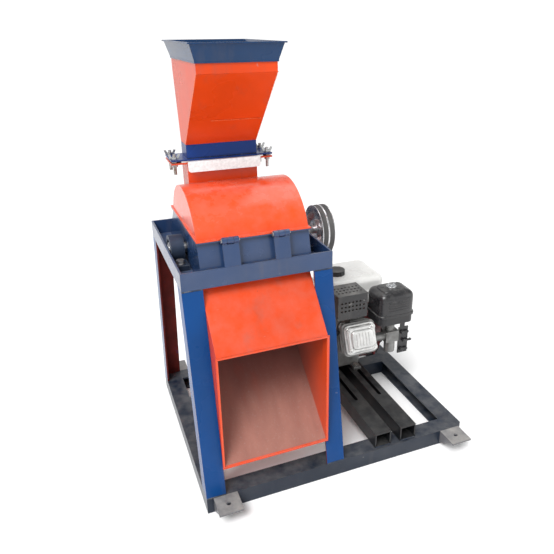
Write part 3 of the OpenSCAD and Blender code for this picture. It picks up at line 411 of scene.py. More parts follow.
def bare_steel(name, colour, metal, roughness=0.34, brushed=(1.0, 1.0, 1.0), stain=0.35, metallic=0.95):
    f = Finish(name)
    rounded = f.softened(0.0008)
    lines = f.noise(160.0, 3.0, 0.6, f.stretched(brushed))
    film = f.noise(22.0, 6.0, 0.65)
    colour = f.blend(f.span(lines, 0.25, 0.75), shade(colour, 0.82), shade(colour, 1.12))
    colour = f.blend(f.times(f.span(film, 0.50, 0.76), stain), colour, tuple(metal.oxide))
    brushed_rough = f.span(lines, 0.2, 0.8, roughness - 0.06, roughness + 0.10)
    rough = f.sum(brushed_rough, f.times(f.span(film, 0.5, 0.8), 0.25), True)
    grain = f.sum(f.times(lines, 0.5), f.times(f.noise(480.0, 2.0), 0.3))
    return f.done(colour, rough, f.bump(grain, 0.16, 0.0006, rounded), metallic=metallic)


def cast_metal(name, colour, metal, roughness=0.5, grit=1.0, metallic=0.75, soot=0.35):
    f = Finish(name)
    rounded = f.softened(0.0012)
    sand = f.noise(420.0, 3.0, 0.6)
    lump = f.noise(60.0, 4.0, 0.6)
    grime = f.noise(13.0, 6.0, 0.66)
    colour = f.blend(f.span(lump, 0.3, 0.7), shade(colour, 0.80), shade(colour, 1.12))
    colour = f.blend(f.times(f.span(grime, 0.46, 0.74), soot), colour, (0.030, 0.027, 0.024))
    edge = f.edges(rounded)
    colour = f.blend(f.times(edge, 0.35), colour, shade(metal.alloy, 1.15))
    rough = f.sum(f.span(lump, 0.2, 0.8, roughness - 0.06, roughness + 0.12), f.times(grime, 0.12), True)
    height = f.sum(f.times(sand, 0.55 * grit), f.times(lump, 0.45))
    return f.done(colour, rough, f.bump(height, 0.30, 0.0009, rounded), metallic=metallic)


def moulded(name, colour, dust, roughness=0.36, grain=320.0, dusting=0.28):
    f = Finish(name)
    rounded = f.softened(0.0012)
    leather = f.cells(grain)
    cloud = f.noise(10.0, 5.0, 0.6)
    up = f.span(f.parts(f.facing)[2], 0.2, 1.0)
    lying = f.times(up, f.span(f.noise(34.0, 6.0), 0.38, 0.7))
    dusty = f.times(f.sum(lying, f.times(f.span(cloud, 0.5, 0.8), 0.35), True), dusting)
    colour = f.blend(f.span(cloud, 0.3, 0.7), shade(colour, 0.8), shade(colour, 1.35))
    colour = f.blend(dusty, colour, tuple(dust))
    rough = f.sum(f.span(cloud, 0.2, 0.8, roughness - 0.04, roughness + 0.10), f.times(dusty, 0.5), True)
    return f.done(colour, rough, f.bump(leather, 0.12, 0.0005, rounded), coat=0.1, coat_roughness=0.3)


def wrapped_rubber(name, colour, dust):
    f = Finish(name)
    rounded = f.softened(0.0006)
    weave_a = f.add("ShaderNodeTexWave", wave_type="BANDS", bands_direction="DIAGONAL")
    f.join(f.place, weave_a.inputs["Vector"])
    weave_a.inputs["Scale"].default_value = 320.0
    scuff = f.noise(40.0, 6.0, 0.7)
    colour = f.blend(f.span(scuff, 0.4, 0.75), tuple(colour), shade(colour, 2.6))
    colour = f.blend(f.times(f.span(f.noise(9.0, 3.0), 0.45, 0.75), 0.35), colour, tuple(dust))
    height = f.sum(f.times(weave_a.outputs["Fac"], 0.6), f.times(scuff, 0.4))
    return f.done(colour, f.span(scuff, 0.2, 0.8, 0.58, 0.82), f.bump(height, 0.3, 0.0006, rounded), sheen=0.15)


def threaded_zinc(name, colour, metal):
    """Plated steel with the fine upright ribbing of a screw thread."""
    f = Finish(name)
    rounded = f.softened(0.0006)
    wave = f.add("ShaderNodeTexWave", wave_type="BANDS", bands_direction="Z", wave_profile="TRI")
    f.join(f.place, wave.inputs["Vector"])
    wave.inputs["Scale"].default_value = 250.0
    film = f.noise(60.0, 6.0, 0.65)
    colour = f.blend(f.span(film, 0.45, 0.7), shade(colour, 1.05), shade(metal.oxide, 1.6))
    # Painted shade: the valleys of the thread are darkened as if shaded in their grooves.
    colour = f.blend(f.times(f.span(wave.outputs["Fac"], 0.5, 0.1), 0.35), colour, (0.05, 0.045, 0.04))
    rough = f.span(film, 0.2, 0.8, 0.26, 0.58)
    return f.done(colour, rough, f.bump(wave.outputs["Fac"], 0.35, 0.0005, rounded), metallic=0.9)


def weld_metal(name, colour, paint):
    f = Finish(name)
    ripple = f.noise(230.0, 4.0, 0.6)
    colour = f.blend(f.span(ripple, 0.5, 0.72), colour, shade(colour, 0.55))
    colour = f.blend(f.times(f.span(f.noise(30.0, 4.0), 0.5, 0.72), 0.5), colour, tuple(paint.dust))
    return f.done(colour, f.span(ripple, 0.2, 0.8, 0.34, 0.56), f.bump(ripple, 0.25, 0.0006))


# ---- mesh building ----


def add_piece(name, mesh_tools, material, body, replaced=(), smooth_angle=40.0):
    """Links a bmesh as a piece that rides on a body."""
    bmesh.ops.recalc_face_normals(mesh_tools, faces=mesh_tools.faces[:])
    mesh = bpy.data.meshes.new(name)
    mesh_tools.to_mesh(mesh)
    mesh_tools.free()
    mesh.materials.append(material)
    mesh.shade_smooth()
    mesh.set_sharp_from_angle(angle=math.radians(smooth_angle))
    piece = bpy.data.objects.new(name, mesh)
    bpy.context.scene.collection.objects.link(piece)
    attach(piece, body)
    if replaced:
        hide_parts(*replaced)
    return piece


def soft_block(tools, low, high, corner, crown, segments=6, place=Matrix.Identity(4), foot=0.0):
    """A block with round upright corners, a rounded top edge and, if asked, a rounded foot."""
    size = high - low
    block = bmesh.ops.create_cube(
        tools, size=1.0, matrix=Matrix.Translation((low + high) / 2) @ Matrix.Diagonal((*size, 1.0))
    )
    verts = set(block["verts"])
    upright = [
        e for e in tools.edges
        if set(e.verts) <= verts and abs((e.verts[0].co - e.verts[1].co).z) > size.z / 2
    ]
    cut = bmesh.ops.bevel(
        tools, geom=upright, offset=corner, offset_type="OFFSET", affect="EDGES",
        segments=segments, profile=0.5, material=-1, clamp_overlap=True,
    )
    mine = {v for v in verts if v.is_valid} | set(cut["verts"])
    for level, radius in ((high.z, crown), (low.z, foot)):
        if radius <= 0.0:
            continue
        rim = [
            e for e in tools.edges
            if set(e.verts) <= mine and all(abs(v.co.z - level) < 1e-6 for v in e.verts)
            and any(abs(face.normal.z) < 0.5 for face in e.link_faces)
        ]
        cut = bmesh.ops.bevel(
            tools, geom=rim, offset=radius, offset_type="OFFSET", affect="EDGES",
            segments=segments, profile=0.5, material=-1, clamp_overlap=True,
        )
        mine = {v for v in mine if v.is_valid} | set(cut["verts"])
    bmesh.ops.transform(tools, matrix=place, verts=list(mine))
    return mine


def drum(tools, centre, radius, height, place=Matrix.Identity(4), round_edge=0.0, segments=48):
    """A closed round with a softened rim, standing on its centre point."""
    made = bmesh.ops.create_cone(
        tools, cap_ends=True, cap_tris=False, segments=segments, radius1=radius, radius2=radius, depth=height,
        matrix=Matrix.Translation(centre + Vector((0, 0, height / 2))),
    )
    mine = set(made["verts"])
    if round_edge > 0.0:
        rim = [
            e for e in tools.edges
            if set(e.verts) <= mine and all(v.co.z > centre.z + height - 1e-6 for v in e.verts)
        ]
        cut = bmesh.ops.bevel(
            tools, geom=rim, offset=round_edge, offset_type="OFFSET", affect="EDGES",
            segments=4, profile=0.5, material=-1, clamp_overlap=True,
        )
        mine = {v for v in mine if v.is_valid} | set(cut["verts"])
    bmesh.ops.transform(tools, matrix=place, verts=list(mine))
    return mine


def weld_line(tools, start, end, welds, dice, width=1.0):
    """A row of overlapping flattened ripples from one point to another."""
    start, end = Vector(start), Vector(end)
    run = end - start
    steps = max(2, int(run.length / welds.pitch))
    turn = run.to_track_quat("X", "Z").to_matrix().to_4x4()
    for step in range(steps + 1):
        spot = start + run * (step / steps)
        size = welds.bead * width * dice.uniform(0.86, 1.12)
        shape = Matrix.Diagonal((0.95, 1.0, 0.72, 1.0))
        bmesh.ops.create_icosphere(
            tools, subdivisions=2, radius=size, matrix=Matrix.Translation(spot) @ turn @ shape
        )


def rod_loop(tools, points, radius):
    """A closed round rod that follows flat corners, swept side by side and mitred by overlap."""
    for index, start in enumerate(points):
        end = points[(index + 1) % len(points)]
        run = Vector(end) - Vector(start)
        turn = run.to_track_quat("Z", "Y").to_matrix().to_4x4()
        bmesh.ops.create_cone(
            tools, cap_ends=True, cap_tris=False, segments=20, radius1=radius, radius2=radius, depth=run.length,
            matrix=Matrix.Translation((Vector(start) + Vector(end)) / 2) @ turn,
        )
        bmesh.ops.create_uvsphere(
            tools, u_segments=20, v_segments=12, radius=radius, matrix=Matrix.Translation(start)
        )


def give(material, *names):
    """Puts one finish on every slot of some frame nodes."""
    for name in names:
        slots = NODES[name].material_slots
        if not slots:
            NODES[name].data.materials.append(material)
        for slot in NODES[name].material_slots:
            slot.material = material


# ---- pieces ----


class MILL_OT_frame_paint(bpy.types.Operator):
    """Paint the base, stand and upper frame"""

    bl_idname = "mill.frame_paint"
    bl_label = "Frame paint"

    def execute(self, context):
        paint = context.scene.mill_paint
        give(gloss_paint("rail_navy", paint.navy, paint, 0.20, 0.5, 0.26, specular=0.35, coat=0.1), "base_frame")
        give(gloss_paint("frame_navy", (0.016, 0.045, 0.125), paint, 0.22, 0.4, 0.20), "upper_frame")
        give(gloss_paint("lug_grey", (0.12, 0.12, 0.13), paint, 0.70, 0.75, 0.42, (0.20, 0.19, 0.18)), "foot_lugs")
        give(gloss_paint("tube_charcoal", (0.004, 0.005, 0.007), paint, 0.12, 0.5, 0.28, specular=0.35, coat=0.1),
             "engine_rails")
        low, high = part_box("stand_posts")
        give(post_paint("post_blue_and_primer", paint, (low + high) / 2), "stand_posts")
        return {"FINISHED"}


class MILL_OT_mill_paint(bpy.types.Operator):
    """Paint the housing, cover, neck, hopper and straps"""

    bl_idname = "mill.mill_paint"
    bl_label = "Mill paint"

    def execute(self, context):
        paint = context.scene.mill_paint
        give(gloss_paint("housing_navy", (0.014, 0.042, 0.120), paint, 0.20, 0.5, 0.20), "lower_housing")
        give(gloss_paint("cover_orange", shade(paint.orange, 1.2), paint, 0.22, 0.42, 0.16, specular=0.35, coat=0.28),
             "cover")
        give(gloss_paint("neck_orange", shade(paint.orange, 0.95), paint, 0.10, 0.5, 0.20, specular=0.3, coat=0.1),
             "feed_neck")
        give(gloss_paint("hopper_orange", paint.orange, paint, 0.05, 0.35, 0.24, specular=0.2, coat=0.06),
             "hopper_body")
        give(gloss_paint("collar_blue", (0.001, 0.026, 0.160), paint, 0.06, 0.6, 0.20, specular=0.2, coat=0.05),
             "hopper_collar")
        give(gloss_paint("rim_navy", (0.001, 0.030, 0.100), paint, 0.08, 0.7, 0.20, specular=0.3, coat=0.1),
             "hopper_rim")
        give(gloss_paint("strap_navy", (0.014, 0.042, 0.120), paint, 0.18, 0.6, 0.18), "hinge_straps", "hinge_leaves")
        give(chute_paint("chute_orange_and_meal", paint, *chute_lines()), "chute")
        return {"FINISHED"}


def chute_lines():
    """The discharge mouth as left, right, front, low and high, then the back ends of the chute floor and roof."""
    low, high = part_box("chute")
    folded = [v.co for v in NODES["chute"].data.vertices if v.co.y < low.y + 0.0006]
    left, right = min(v.x for v in folded) + MOUTH_FOLD, max(v.x for v in folded) - MOUTH_FOLD
    bottom, top = min(v.z for v in folded) + MOUTH_FOLD, max(v.z for v in folded) - MOUTH_FOLD
    floor_back = Vector((0.0, high.y, high.z - CHUTE_RISE))
    roof_back = Vector((0.0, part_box("upper_frame")[0].y + FRAME_SHELF, high.z))
    return (left, right, low.y + MOUTH_SHEET, bottom, top), floor_back, roof_back


class MILL_OT_machined_parts(bpy.types.Operator):
    """Finish the shaft, rotor, bearings, pulleys, sieve and gate"""

    bl_idname = "mill.machined_parts"
    bl_label = "Machined parts"

    def execute(self, context):
        paint, metal = context.scene.mill_paint, context.scene.mill_metal
        around = (1.0, 6.0, 6.0)
        give(bare_steel("turned_shaft", metal.steel, metal, 0.30, (9.0, 1.0, 1.0)), "rotor_shaft", "crankshaft")
        give(bare_steel("hardened_hammer", shade(metal.steel, 0.62), metal, 0.44, (1.0, 1.0, 1.0), 0.55),
             "hammers_a", "hammers_b", "hammers_c", "hammers_d", "rotor_discs")
        give(bare_steel("drawn_pin", shade(metal.steel, 0.85), metal, 0.36, (6.0, 1.0, 1.0)),
             "hammer_pins", "hammer_spacers", "hinge_pins")
        give(bare_steel("ground_ring", shade(metal.steel, 1.2), metal, 0.24, (8.0, 1.0, 1.0), 0.2),
             "bearing_inserts", "bearing_inner_rings")
        give(bare_steel("sieve_plate", shade(metal.steel, 0.75), metal, 0.46, (1.0, 1.0, 1.0), 0.6), "screen")
        give(bare_steel("galvanised_gate", shade(metal.zinc, 1.45), metal, 0.42, (1.0, 8.0, 1.0), 0.05, 0.45),
             "slide_gate", "gate_guides")
        give(bare_steel("pulley_rims", shade(metal.steel, 1.7), metal, 0.24, around, 0.20),
             "mill_pulley", "engine_pulley")
        give(cast_metal("bearing_casting", (0.020, 0.036, 0.070), metal, 0.42, 1.2, 0.35, 0.4), "bearing_housings")
        give(threaded_zinc("plated_threads", shade(metal.zinc, 0.85), metal), "flange_bolts", "bearing_bolts",
             "engine_bolts", "cover_screws")
        give(bare_steel("plated_wings", shade(metal.zinc, 0.8), metal, 0.34, (1.0, 1.0, 1.0), 0.5), "wing_nuts")
        return {"FINISHED"}


class MILL_OT_engine_finish(bpy.types.Operator):
    """Finish the engine parts that keep their frame shape"""

    bl_idname = "mill.engine_finish"
    bl_label = "Engine finish"

    def execute(self, context):
        paint, metal, engine = context.scene.mill_paint, context.scene.mill_metal, context.scene.mill_engine
        give(cast_metal("crankcase_alloy", shade(metal.alloy, 0.62), metal, 0.42, 1.0, 0.8, 0.7), "engine_block",
             "cylinder_head")
        give(cast_metal("carburettor_alloy", shade(metal.alloy, 0.55), metal, 0.30, 0.5, 0.85, 0.6), "carburettor")
        give(gloss_paint("fan_red", engine.red, paint, 0.12, 0.4, 0.20), "fan_housing")
        give(moulded("starter_black", engine.black, paint.dust, 0.34, 260.0, 0.3), "recoil_starter")
        give(moulded("grip_black", engine.black, paint.dust, 0.5, 420.0, 0.25), "recoil_handle", "spark_plug")
        give(moulded("lever_black", engine.black, paint.dust, 0.42, 380.0, 0.2), "throttle_lever", "choke_lever",
             "fuel_lever", "switch_box", "fuel_cap", "air_cleaner_base")
        give(moulded("switch_red", shade(engine.red, 1.5), paint.dust, 0.3, 380.0, 0.1), "engine_switch")
        give(gloss_paint("bracket_black", engine.black, paint, 0.4, 0.6, 0.30, CHIPPED_GREY), "tank_bracket",
             "control_plate", "muffler_shield")
        give(cast_metal("heated_muffler", (0.11, 0.095, 0.085), metal, 0.6, 0.6, 0.6, 0.6), "muffler")
        give(bare_steel("chrome_nut", (0.70, 0.71, 0.72), metal, 0.16, (1.0, 1.0, 1.0), 0.12), "air_cleaner_nut")
        return {"FINISHED"}


class MILL_OT_fuel_tank(bpy.types.Operator):
    """Build the pressed fuel tank with its seam and filler"""

    bl_idname = "mill.fuel_tank"
    bl_label = "Fuel tank"

    def execute(self, context):
        paint, engine = context.scene.mill_paint, context.scene.mill_engine
        low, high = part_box("fuel_tank")
        cap_low, cap_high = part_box("fuel_cap")
        neck = 0.010
        seam = 0.005
        tools = bmesh.new()
        body_low, body_high = low + Vector((seam, seam, 0)), Vector((high.x - seam, high.y - seam, high.z - neck))
        soft_block(tools, body_low, body_high, engine.tank_corner, engine.tank_crown, 8, foot=0.010)
        seam_z = low.z + 0.045
        soft_block(tools, Vector((low.x, low.y, seam_z)), Vector((high.x, high.y, seam_z + 0.003)),
                   engine.tank_corner + seam, 0.0012, 8)
        pad_low = Vector((low.x + 0.028, low.y + 0.028, body_high.z - 0.004))
        soft_block(tools, pad_low, Vector((high.x - 0.028, high.y - 0.028, body_high.z + 0.0022)), 0.022, 0.002, 6)
        cap = (cap_low + cap_high) / 2
        drum(tools, Vector((cap.x, cap.y, body_high.z - 0.003)), 0.020, neck + 0.003 - 0.0002)
        enamel = gloss_paint("tank_white", engine.white, paint, 0.22, 0.2, 0.16, CHIPPED_GREY)
        add_piece("fuel_tank_shell", tools, enamel, "stand", ("fuel_tank",))
        return {"FINISHED"}


class MILL_OT_air_cleaner(bpy.types.Operator):
    """Build the domed air cleaner cover with its ribs"""

    bl_idname = "mill.air_cleaner"
    bl_label = "Air cleaner"

    def execute(self, context):
        paint, engine = context.scene.mill_paint, context.scene.mill_engine
        low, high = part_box("air_cleaner_cover")
        lip = 0.003
        tools = bmesh.new()
        soft_block(tools, low.copy(), Vector((high.x, high.y, low.z + 0.008)), engine.cleaner_corner, 0.003, 8)
        inner_low = low + Vector((lip, lip, 0.004))
        soft_block(tools, inner_low, Vector((high.x - lip, high.y - lip, high.z - 0.003)), engine.cleaner_corner,
                   0.020, 8)
        soft_block(tools, Vector((low.x + 0.022, low.y + 0.020, high.z - 0.008)),
                   Vector((high.x - 0.022, high.y - 0.020, high.z)), 0.018, 0.003, 6)
        for index in range(5):
            rib_z = low.z + 0.020 + index * 0.0075
            soft_block(tools, Vector((low.x + 0.030, low.y + lip - 0.0016, rib_z)),
                       Vector((high.x - 0.030, low.y + lip + 0.004, rib_z + 0.0035)), 0.0014, 0.0012, 3)
        plastic = moulded("cleaner_gloss", engine.black, paint.dust, 0.24, 240.0, 0.22)
        add_piece("air_cleaner_shell", tools, plastic, "stand", ("air_cleaner_cover",))
        return {"FINISHED"}


class MILL_OT_valve_cover(bpy.types.Operator):
    """Build the die cast valve cover with its stepped face and screws"""

    bl_idname = "mill.valve_cover"
    bl_label = "Valve cover"

    def execute(self, context):
        metal, engine = context.scene.mill_metal, context.scene.mill_engine
        cad_low, cad_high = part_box("valve_cover")
        middle_x = (cad_low.x + cad_high.x) / 2
        tilt = math.radians(-CYLINDER_TILT)
        at_head = Matrix.Translation((middle_x, CRANK.y, CRANK.z)) @ Matrix.Rotation(tilt, 4, "X")
        outward = at_head @ Matrix.Rotation(math.radians(90.0), 4, "X")
        tools = bmesh.new()
        for half_x, half_z, start, end, corner, crown in (
            (0.051, 0.045, 0.2021, 0.2070, 0.014, 0.0015),
            (0.047, 0.040, 0.2060, 0.2190, engine.cover_corner, 0.006),
            (0.037, 0.029, 0.2170, 0.2250, 0.015, 0.005),
        ):
            soft_block(tools, Vector((-half_x, -half_z, start)), Vector((half_x, half_z, end)),
                       corner, crown, 6, outward)
        for index in range(5):
            rib_x = -0.020 + index * 0.010
            soft_block(tools, Vector((rib_x - 0.0014, -0.020, 0.2230)), Vector((rib_x + 0.0014, 0.020, 0.2262)),
                       0.0013, 0.0010, 3, outward)
        for side_x in (-1, 1):
            for side_z in (-1, 1):
                spot = Vector((side_x * 0.038, side_z * 0.031, 0.2180))
                drum(tools, spot, 0.0085, 0.0018, outward, 0.0006, 24)
                drum(tools, spot + Vector((0, 0, 0.0015)), 0.0055, 0.0045, outward, 0.0007, 6)
        alloy = cast_metal("valve_cover_alloy", shade(metal.alloy, 1.35), metal, 0.24, 0.4, 0.9, 0.22)
        add_piece("valve_cover_casting", tools, alloy, "stand", ("valve_cover",), 35.0)
        return {"FINISHED"}


class MILL_OT_belts(bpy.types.Operator):
    """Sweep the two wedge belts round their pulleys"""

    bl_idname = "mill.belts"
    bl_label = "Drive belts"

    def execute(self, context):
        paint = context.scene.mill_paint
        low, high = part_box("drive_belts")
        pair_middle = (low.x + high.x) / 2
        run = CRANK - SHAFT
        run.x = 0.0
        heading = math.atan2(run.z, run.y)
        tangent = math.acos((MILL_PITCH - ENGINE_PITCH) / run.length)
        tools = bmesh.new()
        for side in (-1, 1):
            middle = pair_middle + side * BELT_SPREAD
            ends = []
            for hub, pitch, start, turn in (
                (SHAFT, MILL_PITCH, heading + tangent, 2 * math.pi - 2 * tangent),
                (CRANK, ENGINE_PITCH, heading - tangent, 2 * tangent),
            ):
                corners = []
                for across, rise in BELT_SECTION:
                    reach = pitch + rise
                    corners.append(tools.verts.new((
                        middle + across, hub.y + reach * math.cos(start), hub.z + reach * math.sin(start))))
                first = [tools.edges.new((corners[i], corners[(i + 1) % len(corners)])) for i in range(len(corners))]
                spun = bmesh.ops.spin(
                    tools, geom=corners + first, cent=(middle, hub.y, hub.z), axis=(1, 0, 0), dvec=(0, 0, 0),
                    angle=turn, steps=64, use_merge=False, use_normal_flip=False, use_duplicate=False,
                )
                last = [g for g in spun["geom_last"] if isinstance(g, bmesh.types.BMEdge)]
                ends.append((first, last))
            bmesh.ops.bridge_loops(tools, edges=ends[0][0] + ends[1][1])
            bmesh.ops.bridge_loops(tools, edges=ends[0][1] + ends[1][0])
        rubber = wrapped_rubber("belt_rubber", (0.016, 0.016, 0.017), paint.dust)
        add_piece("wedge_belts", tools, rubber, "stand", ("drive_belts",), 30.0)
        return {"FINISHED"}


class MILL_OT_frame_welds(bpy.types.Operator):
    """Lay weld beads at the feet and tops of the posts and round the lugs"""

    bl_idname = "mill.frame_welds"
    bl_label = "Frame welds"

    def execute(self, context):
        paint, welds = context.scene.mill_paint, context.scene.mill_welds
        dice = random.Random(welds.seed)
        base_low, base_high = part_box("base_frame")
        post_low, post_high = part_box("stand_posts")
        frame_low, frame_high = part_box("upper_frame")
        tools = bmesh.new()
        deck = base_high.z + 0.0012
        width = 0.050
        for left in (post_low.x, post_high.x - width):
            for y in (post_low.y + 0.0012, post_high.y - 0.0012):
                weld_line(tools, (left + 0.003, y, deck), (left + width - 0.003, y, deck), welds, dice)
            for y in (frame_low.y + 0.0012, frame_high.y - 0.0012):
                top = frame_low.z - 0.0008
                weld_line(tools, (left + 0.003, y, top), (left + width - 0.003, y, top), welds, dice)
        lug_low, lug_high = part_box("foot_lugs")
        lug = 0.062
        for left in (lug_low.x, lug_high.x - lug):
            for y in (base_low.y - 0.0008, base_high.y + 0.0008):
                top = lug_high.z - 0.0016
                weld_line(tools, (left + 0.002, y, top), (left + lug - 0.002, y, top), welds, dice, 0.7)
        corner = 0.050
        for x in (base_low.x + corner, base_high.x - corner):
            for y in (base_low.y, base_high.y - corner):
                top = base_high.z - 0.0010
                weld_line(tools, (x, y + 0.004, top), (x, y + corner - 0.004, top), welds, dice, 0.6)
        tube_low, tube_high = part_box("engine_rails")
        for left in (tube_low.x, tube_high.x - width):
            for y in (tube_low.y + 0.0006, tube_high.y - 0.0006):
                weld_line(tools, (left + 0.004, y, deck), (left + width - 0.004, y, deck), welds, dice, 0.8)
        metal = weld_metal("weld_navy", shade(paint.navy, 1.6), paint)
        add_piece("frame_weld_beads", tools, metal, "stand")
        return {"FINISHED"}


class MILL_OT_hopper_welds(bpy.types.Operator):
    """Lay weld beads on the hopper, collar and neck"""

    bl_idname = "mill.hopper_welds"
    bl_label = "Hopper welds"

    def execute(self, context):
        paint, welds = context.scene.mill_paint, context.scene.mill_welds
        dice = random.Random(welds.seed + 1)
        low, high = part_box("hopper_body")
        collar_low, collar_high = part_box("hopper_collar")
        neck_low, neck_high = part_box("feed_neck")
        throat_front = min(v.co.y for v in NODES["hopper_body"].data.vertices if v.co.z < low.z + 0.001)
        bend = high.z - 0.026
        tools = bmesh.new()
        for x in (low.x, high.x):
            weld_line(tools, (x, throat_front, low.z + 0.003), (x, low.y, bend), welds, dice, 0.45)
        crease = 0.36
        y = throat_front + (low.y - throat_front) * crease
        z = low.z + (bend - low.z) * crease
        across = high.x - low.x
        weld_line(tools, (low.x + 0.30 * across, y - 0.0008, z), (high.x - 0.04 * across, y - 0.0008, z),
                  welds, dice, 0.55)
        orange = weld_metal("weld_orange", (0.78, 0.150, 0.040), paint)
        add_piece("hopper_weld_beads", tools, orange, "cover_and_hopper")
        tools = bmesh.new()
        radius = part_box("cover")[1].z - SHAFT.z
        for y in (neck_low.y + 0.007, neck_high.y - 0.007):
            z = SHAFT.z + math.sqrt(radius ** 2 - (y - SHAFT.y) ** 2) + 0.0006
            weld_line(tools, (low.x + 0.004, y, z), (high.x - 0.004, y, z), welds, dice, 0.7)
        neck = weld_metal("weld_neck_orange", shade(paint.orange, 0.85), paint)
        add_piece("neck_weld_beads", tools, neck, "cover_and_hopper")
        tools = bmesh.new()
        top = collar_low.z + 0.0046
        for y in (throat_front - 0.0006, collar_low.y + 0.067):
            weld_line(tools, (low.x + 0.003, y, top), (high.x - 0.003, y, top), welds, dice, 0.6)
        blue = weld_metal("weld_collar_blue", shade(paint.navy, 1.9), paint)
        add_piece("collar_weld_beads", tools, blue, "cover_and_hopper")
        return {"FINISHED"}


class MILL_OT_chute_hem(bpy.types.Operator):
    """Roll the hem round the discharge mouth"""

    bl_idname = "mill.chute_hem"
    bl_label = "Chute hem"

    def execute(self, context):
        paint, welds = context.scene.mill_paint, context.scene.mill_welds
        left, right, front, bottom, top = chute_lines()[0]
        inset = 0.0008
        y = front - MOUTH_SHEET + welds.hem * 0.9
        corners = [
            Vector((left + inset, y, bottom + inset)), Vector((right - inset, y, bottom + inset)),
            Vector((right - inset, y, top - inset)), Vector((left + inset, y, top - inset)),
        ]
        tools = bmesh.new()
        rod_loop(tools, corners, welds.hem)
        hem = gloss_paint("hem_orange", shade(paint.orange, 1.05), paint, 0.25, 0.6, 0.22)
        add_piece("mouth_hem", tools, hem, "stand")
        return {"FINISHED"}


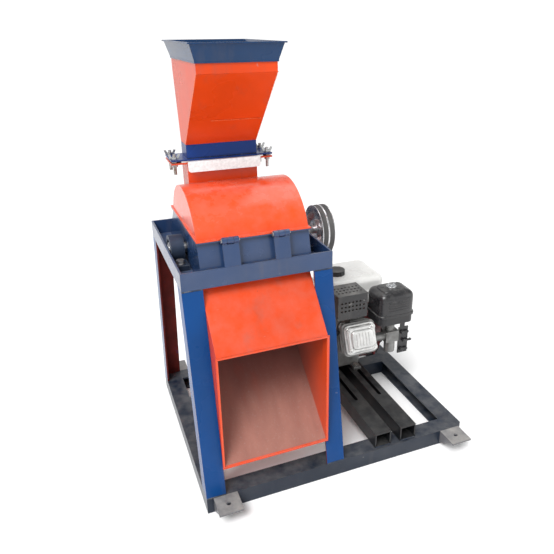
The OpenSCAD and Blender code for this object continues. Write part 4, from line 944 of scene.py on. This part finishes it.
class MILL_OT_stage(bpy.types.Operator):
    """Set the floor, the lamps and the camera"""

    bl_idname = "mill.stage"
    bl_label = "Stage"

    def execute(self, context):
        stage, scene = context.scene.mill_stage, context.scene
        tools = bmesh.new()
        bmesh.ops.create_grid(tools, x_segments=2, y_segments=2, size=60.0)
        mesh = bpy.data.meshes.new("studio_floor")
        tools.to_mesh(mesh)
        tools.free()
        floor = bpy.data.objects.new("studio_floor", mesh)
        scene.collection.objects.link(floor)
        f = Finish("pale_floor")
        cloud = f.noise(1.5, 3.0)
        colour = f.blend(cloud, tuple(stage.floor), shade(stage.floor, 1.05))
        mesh.materials.append(f.done(colour, 0.85, f.bump(f.noise(90.0), 0.05, 0.001)))
        tools = bmesh.new()
        bmesh.ops.create_cone(tools, cap_ends=False, segments=64, radius1=50.0, radius2=50.0, depth=16.0,
                              matrix=Matrix.Translation((0.0, 0.0, 8.0)))
        bmesh.ops.reverse_faces(tools, faces=tools.faces[:])
        far = bpy.data.meshes.new("studio_wall")
        tools.to_mesh(far)
        tools.free()
        wall = bpy.data.objects.new("studio_wall", far)
        scene.collection.objects.link(wall)
        f = Finish("white_wall")
        f.shader.inputs["Emission Strength"].default_value = stage.wall
        f.feed(f.shader.inputs["Emission Color"], f.blend(f.noise(0.5), (1.0, 1.0, 1.0), (0.98, 0.98, 0.98)))
        far.materials.append(f.done((0.0, 0.0, 0.0), 1.0, f.bump(f.noise(2.0), 0.0, 0.001), specular=0.0))
        wall.visible_shadow = False
        wall.visible_diffuse = False
        world = bpy.data.worlds.new("studio_air")
        world.use_nodes = True
        sky = world.node_tree.nodes["Background"]
        sky.inputs["Color"].default_value = (1.0, 1.0, 1.0, 1.0)
        sky.inputs["Strength"].default_value = stage.air
        scene.world = world
        scene.view_settings.view_transform = "Standard"
        centre = (CAD_BOX[0] + CAD_BOX[1]) / 2
        for name, spot, size, power in (
            ("key_lamp", (-2.1, -2.3, 2.7), 1.5, stage.key_power),
            ("fill_lamp", (2.6, -2.2, 1.6), 2.4, stage.fill_power),
            ("top_lamp", (0.2, 0.6, 3.4), 2.6, stage.top_power),
        ):
            lamp = bpy.data.lights.new(name, "AREA")
            lamp.shape = "DISK"
            lamp.size = size
            lamp.energy = power
            holder = bpy.data.objects.new(name, lamp)
            holder.location = spot
            holder.rotation_euler = (centre - Vector(spot)).to_track_quat("-Z", "Y").to_euler()
            scene.collection.objects.link(holder)
        broad = bpy.data.lights.new("broad_light", "SUN")
        broad.energy = stage.sun
        broad.angle = math.radians(28.0)
        carrier = bpy.data.objects.new("broad_light", broad)
        carrier.rotation_euler = Vector((0.52, 0.50, -1.0)).to_track_quat("-Z", "Y").to_euler()
        scene.collection.objects.link(carrier)
        forward = Vector((
            math.sin(stage.heading) * math.cos(stage.pitch),
            math.cos(stage.heading) * math.cos(stage.pitch),
            -math.sin(stage.pitch),
        ))
        lens = bpy.data.cameras.new("studio_camera")
        lens.lens = stage.lens
        lens.sensor_width = 36.0
        lens.shift_x = -0.0458
        lens.shift_y = -0.0245
        lens.clip_start = 0.05
        camera = bpy.data.objects.new("studio_camera", lens)
        turn = forward.to_track_quat("-Z", "Y").to_matrix().to_4x4() @ Matrix.Rotation(stage.roll, 4, "Z")
        camera.matrix_world = Matrix.Translation(stage.eye) @ turn
        scene.collection.objects.link(camera)
        scene.camera = camera
        return {"FINISHED"}


STEPS = (
    MILL_OT_frame_paint,
    MILL_OT_mill_paint,
    MILL_OT_machined_parts,
    MILL_OT_engine_finish,
    MILL_OT_fuel_tank,
    MILL_OT_air_cleaner,
    MILL_OT_valve_cover,
    MILL_OT_belts,
    MILL_OT_frame_welds,
    MILL_OT_hopper_welds,
    MILL_OT_chute_hem,
    MILL_OT_stage,
)
GROUPS = {
    "mill_paint": MillPaint,
    "mill_metal": MillMetal,
    "mill_engine": MillEngine,
    "mill_welds": MillWelds,
    "mill_stage": MillStage,
}


class MILL_PT_panel(bpy.types.Panel):
    """Settings and steps of the hammer mill"""

    bl_idname = "MILL_PT_panel"
    bl_label = "Hammer Mill"
    bl_space_type = "VIEW_3D"
    bl_region_type = "UI"
    bl_category = "Hammer Mill"

    def draw(self, context):
        for name, group in GROUPS.items():
            box = self.layout.box()
            settings = getattr(context.scene, name)
            for key in group.__annotations__:
                box.prop(settings, key)
        for step in STEPS:
            self.layout.operator(step.bl_idname)


def register():
    for name, group in GROUPS.items():
        bpy.utils.register_class(group)
        setattr(bpy.types.Scene, name, PointerProperty(type=group))
    for step in STEPS:
        bpy.utils.register_class(step)
    bpy.utils.register_class(MILL_PT_panel)


def unregister():
    bpy.utils.unregister_class(MILL_PT_panel)
    for step in reversed(STEPS):
        bpy.utils.unregister_class(step)
    for name, group in GROUPS.items():
        delattr(bpy.types.Scene, name)
        bpy.utils.unregister_class(group)


def main():
    register()
    bpy.ops.mill.frame_paint()
    bpy.ops.mill.mill_paint()
    bpy.ops.mill.machined_parts()
    bpy.ops.mill.engine_finish()
    bpy.ops.mill.fuel_tank()
    bpy.ops.mill.air_cleaner()
    bpy.ops.mill.valve_cover()
    bpy.ops.mill.belts()
    bpy.ops.mill.frame_welds()
    bpy.ops.mill.hopper_welds()
    bpy.ops.mill.chute_hem()
    bpy.ops.mill.stage()


if __name__ == "__main__":
    main()
